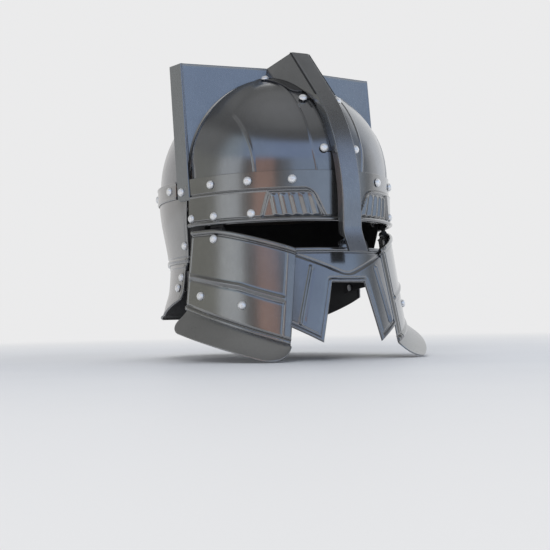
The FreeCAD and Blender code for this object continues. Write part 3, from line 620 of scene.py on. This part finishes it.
MASK_TOP, MOUTH_TOP, MOUTH_HALF = -21.8, -51.0, 15.5
TUSK_TIP, TUSK_SIDE = (27.8, -99.8), (50.0, -87.0)
MASK_SIDE_TOP = 46
MASK_INSET = -2.4
V_LINE = ((46, -26), (38, -29), (23.5, -35.1), (10.0, -40.8), (5.5, -42.6), (2.5, -43.4),
          (0, -43.6))
BEAD = ((31.2, -38.3), (36.5, -58.0), (42.0, -79.0), (43.0, -84.5))
LIP_GROOVE = ((0, -47.9), (9.5, -47.9))


def face_at_x(x, height, out):
    """Points of the face whose x is given."""
    angle = np.degrees(np.arcsin(np.clip(x / HALF, -1, 1)))
    for _ in range(8):
        nx, _ = outward(angle)
        stand = flare(angle, height) + out
        angle = np.degrees(np.arcsin(np.clip((x - nx * stand) / HALF, -0.999, 0.999)))
    return on_face(angle, height, out)


def line_distance(x, y, corners):
    """Distance from each point to a broken line."""
    best = np.full(x.shape, FAR_AWAY)
    for (ax, ay), (bx, by) in zip(corners, corners[1:]):
        length = (bx - ax) ** 2 + (by - ay) ** 2
        share = np.clip(((x - ax) * (bx - ax) + (y - ay) * (by - ay)) / length, 0, 1)
        away = np.hypot(x - ax - share * (bx - ax), y - ay - share * (by - ay))
        best = np.minimum(best, away)
    return best


def below_line(side, height):
    """How far a point lies below the mask's V line."""
    line = np.interp(side, [x for x, _ in V_LINE[::-1]], [high for _, high in V_LINE[::-1]])
    return line - height


def mask_relief(x, height):
    """Rims, the sunk field over the V line, the beads and their grooves."""
    side = np.abs(x)
    top = MASK_TOP - height
    relief = rolled(top, 1.6, 1.2) - 0.7 * ridge(top - 4.0, 0.9)
    relief -= 0.9 * ridge(line_distance(side, height, V_LINE), 1.3)
    relief += 0.9 * smooth(-1.5, 2.5, below_line(side, height))
    relief -= 0.55 * ridge(line_distance(side, height, LIP_GROOVE), 1.0)
    mouth_rim = line_distance(side, height, ((0, MOUTH_TOP), (MOUTH_HALF, MOUTH_TOP), TUSK_TIP))
    tip_rim = line_distance(side, height, (TUSK_TIP, TUSK_SIDE))
    rim = np.minimum(mouth_rim, tip_rim)
    relief += rolled(rim, 1.5, 1.1) - 0.45 * ridge(rim - 3.8, 1.0)
    bead = line_distance(side, height, BEAD)
    bead_x = np.interp(-height, [-high for _, high in BEAD], [x for x, _ in BEAD])
    bead_top, bead_low = BEAD[0][1], BEAD[-1][1]
    ends = smooth(bead_top + 1, bead_top - 3, height) * smooth(bead_low - 1, bead_low + 2, height)
    return relief + 1.7 * ridge(bead, 1.0) - 0.5 * ridge(side - bead_x + 2.4, 1.0) * ends


def half_mask():
    """Flat (x, height) stations of one half: bridge and tusk, in one grid."""
    drops = dense(0, MASK_TOP - MOUTH_TOP, 0.6, (0.6, 3.8), 0.25, 1.5)
    middle = np.linspace(0, MOUTH_HALF, 30)
    bridge = np.stack(np.meshgrid(middle, MASK_TOP - drops, indexing="ij"), axis=-1)
    outer_x = blend(MASK_SIDE_TOP, TUSK_SIDE[0], drops / (MASK_TOP - TUSK_SIDE[1]))
    upper, lower = [], []
    for share in dense(0, 1, 0.012, (0.0, 0.08, 1.0), 0.008, 0.05):
        x = blend(MOUTH_HALF, outer_x, share)
        upper.append(np.stack([x, MASK_TOP - drops], axis=-1))
        start = upper[-1][-1]
        end = np.array(TUSK_TIP) * (1 - share) + np.array(TUSK_SIDE) * share
        falls = 1 - dense(0, 1, 0.012, (0.0, 0.08), 0.006, 0.03)[::-1]
        lower.append(start + (end - start) * falls[:, None])
    return bridge, np.array(upper), np.array(lower)


def mask_patch(flat, side):
    """Points and relief of flat mask stations, on one side of the face."""
    x, height = flat[..., 0] * side, flat[..., 1]
    points = face_at_x(x, height, MASK_INSET)
    return points, mask_relief(x, height)


def face_mask():
    """The mask: a bridge over the mouth and a tusk on each side."""
    bridge, upper, lower = half_mask()
    tusk = np.concatenate([upper, lower[:, 1:]], axis=1)
    full_bridge = np.concatenate([bridge[:0:-1] * np.array([-1, 1]), bridge])
    parts = []
    points, relief = mask_patch(full_bridge, 1)
    parts.append(plate_mesh(points, relief, edge=0.0))
    for side in (-1, 1):
        points, relief = mask_patch(tusk, side)
        parts.append(plate_mesh(points, relief, edge=0.15))
    make("face_mask_pressed", joined(*parts), black_steel, "helmet", ["face_mask"],
         60)


face_mask()

# ---- neck guard ----

UPPER_NECK = ((0, 38), (0, 25), (-1.6, 9.5), (-4.2, -5), (-6.6, -19), (-7.8, -29))
LOWER_NECK = ((-9.4, -25), (-8.6, -42), (-7, -56), (-4.2, -65.5), (-0.5, -79))
UPPER_FRONT = ((-30, 39), (-28.3, 22), (-16.3, -29), (-16, -30))
LOWER_FRONT = ((-13, -24), (-7.6, -37), (-6, -54), (-3, -61), (14, -66), (33, -71.5), (58, -79))


NECK_TOP, GUARD_BEAD, GUARD_GROOVE = 38, -26.6, -24.6
LAME_LOW, LAME_GROOVE, LAME_BEAD = -79, -74.8, -32.4
LAME_LENGTH = 420


def by_height(profile):
    """Heights and outward places of a profile, from its lowest corner up."""
    order = np.array(sorted(profile, key=lambda corner: corner[1]), float)
    return order[:, 1], order[:, 0]


def spline_out(profile, height):
    """Outward place of a neck plate, smooth through its corners."""
    high, outs = by_height(profile)
    slopes = np.gradient(outs, high)
    place = np.clip(np.searchsorted(high, height) - 1, 0, len(high) - 2)
    width = high[place + 1] - high[place]
    t = np.clip((height - high[place]) / width, 0, 1)
    cube, square = t ** 3, t ** 2
    value = (2 * cube - 3 * square + 1) * outs[place] + (3 * square - 2 * cube) * outs[place + 1]
    slope = (cube - 2 * square + t) * slopes[place] + (cube - square) * slopes[place + 1]
    return value + slope * width


def front_angle(y_edge, height, out):
    """Angle from the front where a neck plate reaches the given y."""
    low, high = np.full(np.shape(height), 60.0), np.full(np.shape(height), 140.0)
    for _ in range(24):
        middle = (low + high) / 2
        forward = at(middle, height, out)[..., 1] < y_edge
        low, high = np.where(forward, middle, low), np.where(forward, high, middle)
    return (low + high) / 2


def neck_plate(profile, front, relief_of, rows):
    """A bent plate round the neck, from one front edge to the other."""
    corners = by_height(profile)[0]
    heights = dense(corners[0], corners[-1], 1.6, rows, 0.35, 2.5)
    outs = spline_out(profile, heights)
    edge_y = np.interp(heights, *by_height(front))
    starts = front_angle(edge_y, heights, outs)
    shares = dense(0, 1, 0.008, (0, 1), 0.0012, 0.012)
    angle = blend(starts[None, :], 360 - starts[None, :], shares[:, None])
    height = np.broadcast_to(heights[None, :], angle.shape)
    out = np.broadcast_to(outs[None, :], angle.shape)
    edge_away = np.minimum(shares, 1 - shares)[:, None] * LAME_LENGTH
    return plate_mesh(at(angle, height, out), relief_of(height, edge_away), edge=0.3)


def guard_relief(height, edge_away):
    relief = 0.9 * ridge(height - GUARD_BEAD, 1.0) - 0.5 * ridge(height - GUARD_GROOVE, 0.8)
    relief += rolled(NECK_TOP - height, 1.5, 0.4) + rolled(edge_away, 1.5, 0.35)
    return relief - 0.35 * ridge(edge_away - 3.6, 0.8)


def lame_relief(height, edge_away):
    relief = rolled(height - LAME_LOW, 1.8, 1.04) - 0.4 * ridge(height - LAME_GROOVE, 0.9)
    relief += rolled(edge_away, 1.5, 0.6) - 0.4 * ridge(edge_away - 3.6, 0.8)
    return relief + 0.6 * ridge(height - LAME_BEAD, 0.9)


guard = neck_plate(UPPER_NECK, UPPER_FRONT, guard_relief, (-29, -25))
make("neck_guard_pressed", guard, band_steel, "helmet", ["neck_guard"])
lame = neck_plate(LOWER_NECK, LOWER_FRONT, lame_relief, (LAME_LOW, -32))
make("neck_lame_pressed", lame, band_steel, "helmet", ["neck_lame"])

# ---- cheek guards ----

CHEEK_BACK, FRONT_TOP, FRONT_LOW = 73.9, 23.6, 26.2
CHEEK_TOP_BACK, CHEEK_TOP_FRONT, LEVEL_SHARE = -3.0, -21.8, 0.24
CHEEK_LOW_BACK, CHEEK_LOW_FRONT = -71.0, -101.3
CHEEK_RUN = 115.0
CHEEK_FOLD = 8.0
BEAD_LINE = ((-124.8, -65.0), (-92.5, -52.5), (-48.0, -43.6), (-30.0, -41.0))
SKIRT_FLARE = math.radians(46)
SKIRT_REACH, SKIRT_CORNER_BACK, SKIRT_CORNER_FRONT = 25, 11, 23
SKIRT_LIFTS = (20, 15, 10, 6, 3, 1)


def cheek_top(share):
    fall = np.clip(share - LEVEL_SHARE, 0, None) / (1 - LEVEL_SHARE)
    return blend(CHEEK_TOP_BACK, CHEEK_TOP_FRONT, fall ** 1.25)


def cheek_low(share):
    return blend(CHEEK_LOW_BACK, CHEEK_LOW_FRONT, share)


def cheek_surface():
    """Points of a cheek guard, each with its share of the way forward and its height."""
    shares = dense(0, 1, 0.02, (0.0, 0.93, 1.0), 0.004, 0.03)
    falls = dense(0, 1, 0.012, (0.0, 0.06, 0.56, 1.0), 0.005, 0.035)
    share, down = np.meshgrid(shares, falls, indexing="ij")
    height = blend(cheek_top(share), cheek_low(share), down)
    angle = blend(CHEEK_BACK, blend(FRONT_TOP, FRONT_LOW, down), share)
    return on_face(-angle, height), share, height


def cheek_relief(points, share, height):
    """Rolled edges, the long bead and the folded front edge."""
    from_top = cheek_top(share) - height
    from_low = height - cheek_low(share)
    from_front = (1 - share) * CHEEK_RUN
    from_back = share * CHEEK_RUN
    relief = rolled(from_top, 2.0, 1.7) - 0.8 * ridge(from_top - 4.9, 0.8)
    bead_height = np.interp(points[..., 1], [c[0] for c in BEAD_LINE], [c[1] for c in BEAD_LINE])
    bead = height - bead_height
    flat_zone = smooth(1.0, 3.0, from_back) * smooth(CHEEK_FOLD - 1.5, CHEEK_FOLD, from_front)
    relief += (1.5 * ridge(bead, 1.7) - 0.6 * ridge(bead + 3.2, 0.9)) * flat_zone
    relief += rolled(from_low, 1.9, 1.3) - 0.6 * ridge(from_low - 4.6, 0.8)
    relief -= 0.55 * ridge(from_front - CHEEK_FOLD, 0.8)
    relief -= smooth(CHEEK_FOLD - 1.5, 0.0, from_front)
    return relief + rolled(from_back, 1.2, 0.4)


def cheek_mesh():
    points, share, height = cheek_surface()
    return plate_mesh(points, cheek_relief(points, share, height), edge=0.3)


def round_corner(along, corner):
    """How far a rounded corner of the given radius has risen at a place along the edge."""
    return np.sqrt(np.clip(corner ** 2 - np.clip(corner - along, 0, None) ** 2, 0, None))


def skirt_reach(share):
    """Width of the skirt, with a round corner at each end."""
    rear = SKIRT_REACH - SKIRT_CORNER_BACK + round_corner(share * CHEEK_RUN, SKIRT_CORNER_BACK)
    front = SKIRT_REACH - SKIRT_CORNER_FRONT
    front = front + round_corner((1 - share) * CHEEK_RUN, SKIRT_CORNER_FRONT)
    return np.minimum(rear, front)


def skirt_mesh():
    """The flared skirt under a cheek guard, with the strip that runs up behind it."""
    shares = dense(0, 1, 0.02, (0.0, 1.0), 0.004, 0.1)
    angle = -blend(CHEEK_BACK, FRONT_LOW, shares)
    nx, ny = outward(angle)
    side = np.stack([nx, ny, np.zeros_like(nx)], axis=-1)
    low = cheek_low(shares)
    columns = [on_face(angle, low + lift, -LOOSE) for lift in SKIRT_LIFTS]
    fold = on_face(angle, low, -LOOSE)
    run = skirt_reach(shares)[:, None]
    for step in np.linspace(0, 1, 16)[1:]:
        sweep = SKIRT_FLARE * (0.9 + 0.15 * step)
        drop = UP * (run * step * math.cos(sweep))
        columns.append(fold + side * (run * step * math.sin(sweep)) - drop)
    return plate_mesh(np.stack(columns, axis=1), 0.0, edge=0.3)


cheek, skirt = cheek_mesh(), skirt_mesh()
for side, name in SIDES:
    body = name + "_cheek"
    make("cheek_guard_pressed_" + name, on_side(cheek, side), cheek_steel, body,
         ["cheek_guard_" + name])
    # The skirts use the lighter steel inside and out: painted light.
    make("cheek_skirt_pressed_" + name, on_side(skirt, side), lit_skirt_steel, body,
         ["cheek_skirt_" + name], inner=lit_skirt_steel)

# ---- nasal bar ----

SLOPE = math.radians(44)
BEND_RADIUS, BEND_HEIGHT, BAR_FRONT = 142.5, 12.6, -144.0
PEAK_HEIGHT, STRIP_HALF = 155.7, 8.8
STRIP_BEVEL, RETURN_DEPTH = 1.1, 7.5
KICK = ((0.0, -6.5), (-0.4, -8.5), (-1.3, -11), (-2.6, -14), (-4.6, -18), (-6.7, -22), (-8.8, -26))


def bar_line():
    """Centre line of the comb and nasal strip in (y, height), from peak to tip."""
    centre_y = BAR_FRONT + BEND_RADIUS
    shoulder_y = centre_y - BEND_RADIUS * math.cos(SLOPE)
    shoulder_high = BEND_HEIGHT + BEND_RADIUS * math.sin(SLOPE)
    rise = (PEAK_HEIGHT - shoulder_high) / math.cos(SLOPE)
    line = [(shoulder_y + math.sin(SLOPE) * rise * k, shoulder_high + math.cos(SLOPE) * rise * k)
            for k in np.linspace(1, 0, 16)[:-1]]
    line += [(centre_y - BEND_RADIUS * math.cos(a), BEND_HEIGHT + BEND_RADIUS * math.sin(a))
             for a in np.linspace(SLOPE, 0, 50)]
    line += [(BAR_FRONT, high) for high in np.linspace(BEND_HEIGHT, -5, 12)[1:]]
    line += [(BAR_FRONT + y, high) for y, high in KICK]
    return np.array(line)


def nasal_bar():
    """The strip over the comb and nose, with its returned sides."""
    line = bar_line()
    tangent = unit(np.gradient(line, axis=0))
    normal = np.stack([tangent[:, 1], -tangent[:, 0]], axis=-1)
    normal[normal[:, 0] > 0] *= -1
    depth = 1.0 + RETURN_DEPTH * smooth(-16, -8, line[:, 1]) * smooth(112, 104, line[:, 1])
    corner = [(-STRIP_HALF + STRIP_BEVEL * (1 - math.cos(t)), STRIP_BEVEL * (1 - math.sin(t)))
              for t in np.linspace(0, math.pi / 2, 6)]
    flat_half = STRIP_HALF - STRIP_BEVEL - 1
    flat = [(x, 0.0) for x in np.linspace(-flat_half, flat_half, 9)]
    outer = []
    for point, out, deep in zip(line, normal, depth):
        base = STRIP_BEVEL if deep > STRIP_BEVEL else 0.0
        tall = max(deep, STRIP_BEVEL) - base
        row = [(-STRIP_HALF, base + tall * share) for share in (1.0, 0.75, 0.5)]
        row += corner + flat + [(-x, d) for x, d in reversed(corner)]
        row += [(-x, d) for x, d in reversed(row[:3])]
        outer.append([(x, point[0] - out[0] * d, point[1] - out[1] * d - SEAT) for x, d in row])
    points = np.array(outer)
    hint = np.zeros_like(points)
    hint[:, len(points[0]) // 2, 1] = -1.0
    mesh = plate_mesh(points, 0.0, hint=hint, edge=0.2)
    make("nasal_strip", mesh, strip_steel, "helmet", ["nasal_bar"], 50)


nasal_bar()


WALL_LOW, WALL_REAR_HALF, WALL_END_BACK = 84.0, 17.0, 9.0
WALL_RUN, WALL_FOOT_HALF = (0.0, 0.3, 0.62, 1.0), (18.6, 14.3, 10.6, 9.0)
WALL_FOOT_Y = (-34.0, -62.0, -92.0)


def comb_wall():
    """Side of the comb: from the strip's edge down to the dome, running out to a point."""
    edge = bar_line()
    edge = edge[edge[:, 1] > WALL_LOW]
    run = np.linspace(0, 1, len(edge))
    shares = dense(0, 1, 0.06, (0, 1), 0.01, 0.05)
    foot_y = np.interp(run, WALL_RUN, WALL_FOOT_Y + (edge[-1, 0] + WALL_END_BACK,))
    foot = on_dome(-np.interp(run, WALL_RUN, WALL_FOOT_HALF), foot_y, LOOSE + 0.2)
    strip_edge = np.full(len(edge), 0.05 - STRIP_HALF)
    top = np.stack([strip_edge, edge[:, 0] + 0.55, edge[:, 1] - SEAT - 0.5], axis=-1)
    start = crest_point(np.array([-WALL_REAR_HALF]), np.array([CREST_TOP]))[0] + 0.6 * FORWARD
    rear = blend(start, foot[0], shares[:, None])
    points = blend(top[:, None, :], foot[:, None, :], shares[None, :, None])
    return plate_mesh(np.concatenate([rear[None], points]), 0.0, hint=SIDEWAYS, edge=0.1)


# ---- crest ----

CREST_TOP, CREST_SIDE = 146.7, 97.0
CREST_MIDDLE_Y, CREST_SWEEP = -32.0, 13.0
LEAN = 12.4 / (CREST_TOP - 44.0)
FLANGE_RUN, FLANGE_INWARD, FLANGE_BACK = 18.2, 2.9, 18.0
FLANGE_LOW, FLANGE_CORNER = 24.0, 4.0


def crest_point(x, height):
    """Points of the swept, leaning plane of a crest plate."""
    y = CREST_MIDDLE_Y + CREST_SWEEP * np.abs(x) / CREST_SIDE - LEAN * (CREST_TOP - height)
    return np.stack(np.broadcast_arrays(x, y, height - SEAT), axis=-1)


def dome_height(x):
    """Height where the crest's plane meets the skull."""
    low, high = np.full(x.shape, BAND_TOP), np.full(x.shape, CREST_TOP - 1)
    wide, deep, rise = HALF + GAP, REACH_FRONT + GAP, DOME_RISE + LOOSE + GAP
    for _ in range(30):
        middle = (low + high) / 2
        y = crest_point(x, middle)[..., 1]
        inside = (x / wide) ** 2 + (y / deep) ** 2 + ((middle - BAND_TOP) / rise) ** 2 < 1
        low, high = np.where(inside, middle, low), np.where(inside, high, middle)
    return low


def crest_plate():
    """The plate over one side of the dome."""
    x = -dense(0.3, CREST_SIDE - 0.6, 2.0, (0.3, CREST_SIDE), 0.25, 2.0)
    foot = dome_height(x) - 0.6
    shares = dense(0, 1, 0.04, (0, 1), 0.006, 0.02)
    height = blend(foot[:, None], CREST_TOP, shares[None, :])
    points = crest_point(np.broadcast_to(x[:, None], height.shape), height)
    lip = 0.5 * ridge(CREST_TOP - height - 0.6, 0.7)
    lip += 0.45 * ridge((CREST_SIDE - 0.6 + x)[:, None] - 0.5, 0.6)
    return plate_mesh(points, lip, hint=FORWARD, edge=0.25)


def crest_flange():
    """The strip bent back along the skull from the crest plate's outer edge."""
    along = dense(0, FLANGE_RUN, 1.2, (0, FLANGE_RUN), 0.2, 1.0)
    rise = dense(FLANGE_LOW, CREST_TOP, 3.0, (FLANGE_LOW, CREST_TOP), 0.4, 4.0)
    step, height = np.meshgrid(along, rise, indexing="ij")
    cut = FLANGE_CORNER - round_corner(FLANGE_RUN - step, FLANGE_CORNER)
    share = (height - FLANGE_LOW) / (CREST_TOP - FLANGE_LOW)
    height = height + cut * (1 - share) ** 6
    base = crest_point(np.full(step.shape, 0.8 - CREST_SIDE), height)
    back = np.array([-FLANGE_INWARD, FLANGE_BACK, 0.0])
    points = base + (step / FLANGE_RUN)[..., None] * back + GAUGE * SIDEWAYS
    return plate_mesh(points, 0.0, hint=SIDEWAYS, edge=0.25)


wall = comb_wall()
wing = joined(crest_plate(), crest_flange())
for side, name in SIDES:
    make("comb_side_" + name, on_side(wall, side), black_steel, "helmet",
         ["comb_wall_" + name])
for side, name in SIDES:
    make("crest_plate_" + name, on_side(wing, side), crest_steel, "helmet",
         ["crest_wing_" + name], inner=crest_steel)

# ---- floor, light and camera ----

PALE = tone(0.83, 0.83, 0.835)
FLOOR_RADIUS, FADE_START, FADE_END = 9.0, 0.25, 1.1


def floor():
    """Pale round floor that fades into the pale background."""
    place = (0, 0, cad_low.z - 0.0005)
    bpy.ops.mesh.primitive_circle_add(vertices=96, radius=FLOOR_RADIUS, fill_type="NGON",
                                      location=place)
    disc = bpy.context.object
    disc.name = "floor"
    n = Nodes.material("floor_paint")
    paint = n.mix(n.noise(3, 3, 0.5), tone(0.62, 0.63, 0.65), tone(0.66, 0.67, 0.69))
    n.put(n.shader.inputs["Base Color"], paint)
    n.put(n.shader.inputs["Roughness"], n.span(n.noise(9, 3, 0.5), 0.3, 0.7, 0.5, 0.6))
    far = n.add("ShaderNodeVectorMath", Vector=n.place)
    far.operation = "LENGTH"
    fade = n.span(far.outputs["Value"], FADE_START, FADE_END, 0.0, 1.0)
    pale = n.add("ShaderNodeEmission", Color=PALE)
    both = n.tree.nodes.new("ShaderNodeMixShader")
    n.put(both.inputs[0], fade)
    n.put(both.inputs[1], n.shader.outputs["BSDF"])
    n.put(both.inputs[2], pale.outputs["Emission"])
    n.put(n.tree.nodes["Material Output"].inputs["Surface"], both.outputs["Shader"])
    disc.data.materials.append(n.made)


def area_light(name, place, size, power, colour):
    """Large soft lamp that lights the scene but isn't mirrored in the steel."""
    data = bpy.data.lights.new(name, "AREA")
    data.shape = "RECTANGLE"
    data.size, data.size_y = size
    data.energy = power
    data.color = colour
    lamp = bpy.data.objects.new(name, data)
    bpy.context.scene.collection.objects.link(lamp)
    lamp.location = place
    aim = Vector((0, 0, -0.1)) - Vector(place)
    lamp.rotation_euler = aim.to_track_quat("-Z", "Y").to_euler()
    lamp.visible_glossy = False


# Soft panels round the studio, as (azimuth, colour): 0 is in front of the face,
# 90 on the wearer's left. The ceiling's are (sine of the elevation, colour).
LOW_ROUND = ((-180, (0.76, 0.75, 0.75)), (-148, (0.70, 0.69, 0.68)), (-134, (0.40, 0.40, 0.36)),
             (-110, (0.42, 0.42, 0.38)), (-101, (0.98, 1.02, 1.05)), (-88, (0.95, 1.00, 1.05)),
             (-80, (0.26, 0.25, 0.24)), (-74, (0.28, 0.24, 0.22)), (-68, (0.72, 0.46, 0.38)),
             (-54, (0.66, 0.43, 0.36)), (-48, (0.24, 0.23, 0.23)), (-38, (0.30, 0.33, 0.38)),
             (-26, (0.50, 0.62, 0.82)), (45, (0.55, 0.70, 0.93)), (58, (0.45, 0.52, 0.62)),
             (72, (0.30, 0.32, 0.34)), (92, (0.85, 0.86, 0.88)), (104, (1.02, 1.05, 1.10)),
             (132, (0.86, 0.87, 0.89)), (150, (0.74, 0.74, 0.74)), (180, (0.76, 0.75, 0.75)))
HIGH_ROUND = ((-180, (0.70, 0.70, 0.70)), (-150, (0.40, 0.40, 0.39)), (-115, (0.32, 0.32, 0.31)),
              (-98, (0.62, 0.72, 0.80)), (-76, (0.50, 0.64, 0.90)), (-40, (0.46, 0.60, 0.90)),
              (50, (0.52, 0.64, 0.88)), (76, (0.36, 0.40, 0.46)), (100, (0.88, 0.91, 0.95)),
              (128, (0.98, 1.00, 1.02)), (155, (0.85, 0.85, 0.85)), (180, (0.70, 0.70, 0.70)))
CEILING = ((0.66, (0.15, 0.15, 0.145)), (0.80, (0.20, 0.20, 0.195)), (0.92, (0.33, 0.33, 0.325)),
           (1.0, (0.38, 0.38, 0.38)))
GROUND = tone(0.60, 0.61, 0.62)
# Each gives the sine of the elevation where one panel starts to take over and where it has.
HIGH_FROM, CEILING_FROM, GROUND_TO = (0.35, 0.43), (0.65, 0.73), (-0.06, 0.0)


def round_ramp(n, share, stops):
    return n.ramp(share, [((azimuth + 180) / 360, tone(*colour)) for azimuth, colour in stops])


def world():
    """Pale to the camera; a soft studio for the reflections."""
    room = bpy.data.worlds.new("studio")
    bpy.context.scene.world = room
    room.use_nodes = True
    n = Nodes(room.node_tree)
    n.tree.nodes.clear()
    place = n.add("ShaderNodeTexCoord").outputs["Generated"]
    split = n.add("ShaderNodeSeparateXYZ", Vector=place)
    x, y, z = split.outputs["X"], split.outputs["Y"], split.outputs["Z"]
    turn = n.maths("ARCTAN2", x, n.maths("MULTIPLY", y, -1.0))
    share = n.span(turn, -math.pi, math.pi, 0.0, 1.0)
    low, high = round_ramp(n, share, LOW_ROUND), round_ramp(n, share, HIGH_ROUND)
    walls = n.mix(n.span(z, *HIGH_FROM, 0.0, 1.0), low, high)
    ceiling = n.ramp(z, [(place, tone(*colour)) for place, colour in CEILING])
    roofed = n.mix(n.span(z, *CEILING_FROM, 0.0, 1.0), walls, ceiling)
    colour = n.mix(n.span(z, *GROUND_TO, 1.0, 0.0), roofed, GROUND)
    soft = n.add("ShaderNodeBackground", Color=colour)
    seen = n.add("ShaderNodeBackground", Color=PALE)
    path = n.add("ShaderNodeLightPath")
    pick = n.tree.nodes.new("ShaderNodeMixShader")
    n.put(pick.inputs[0], path.outputs["Is Camera Ray"])
    n.put(pick.inputs[1], soft.outputs["Background"])
    n.put(pick.inputs[2], seen.outputs["Background"])
    out = n.tree.nodes.new("ShaderNodeOutputWorld")
    n.put(out.inputs["Surface"], pick.outputs["Shader"])


EYE, LENS = (-0.4758, -0.9073, -0.2009), 72.0
EYE_UP, EYE_ROLL, EYE_TURN = 2.21, 1.118, -27.777


def camera():
    """Looks up a little at the helmet from its front, on the wearer's right."""
    data = bpy.data.cameras.new("camera")
    data.lens, data.sensor_width = LENS, 36.0
    eye = bpy.data.objects.new("camera", data)
    bpy.context.scene.collection.objects.link(eye)
    eye.location = EYE
    eye.rotation_euler = (math.radians(90 + EYE_UP), math.radians(EYE_ROLL), math.radians(EYE_TURN))
    bpy.context.scene.camera = eye


floor()
area_light("key", (-1.1, -1.3, 0.9), (1.0, 0.8), 14, (1.0, 0.99, 0.97))
area_light("fill", (1.3, -0.9, 0.3), (0.8, 1.0), 7, (0.95, 0.97, 1.0))
area_light("top", (0.2, 0.6, 1.4), (1.2, 1.2), 12, (1.0, 1.0, 1.0))
world()
camera()
bpy.context.scene.view_settings.view_transform = "Standard"
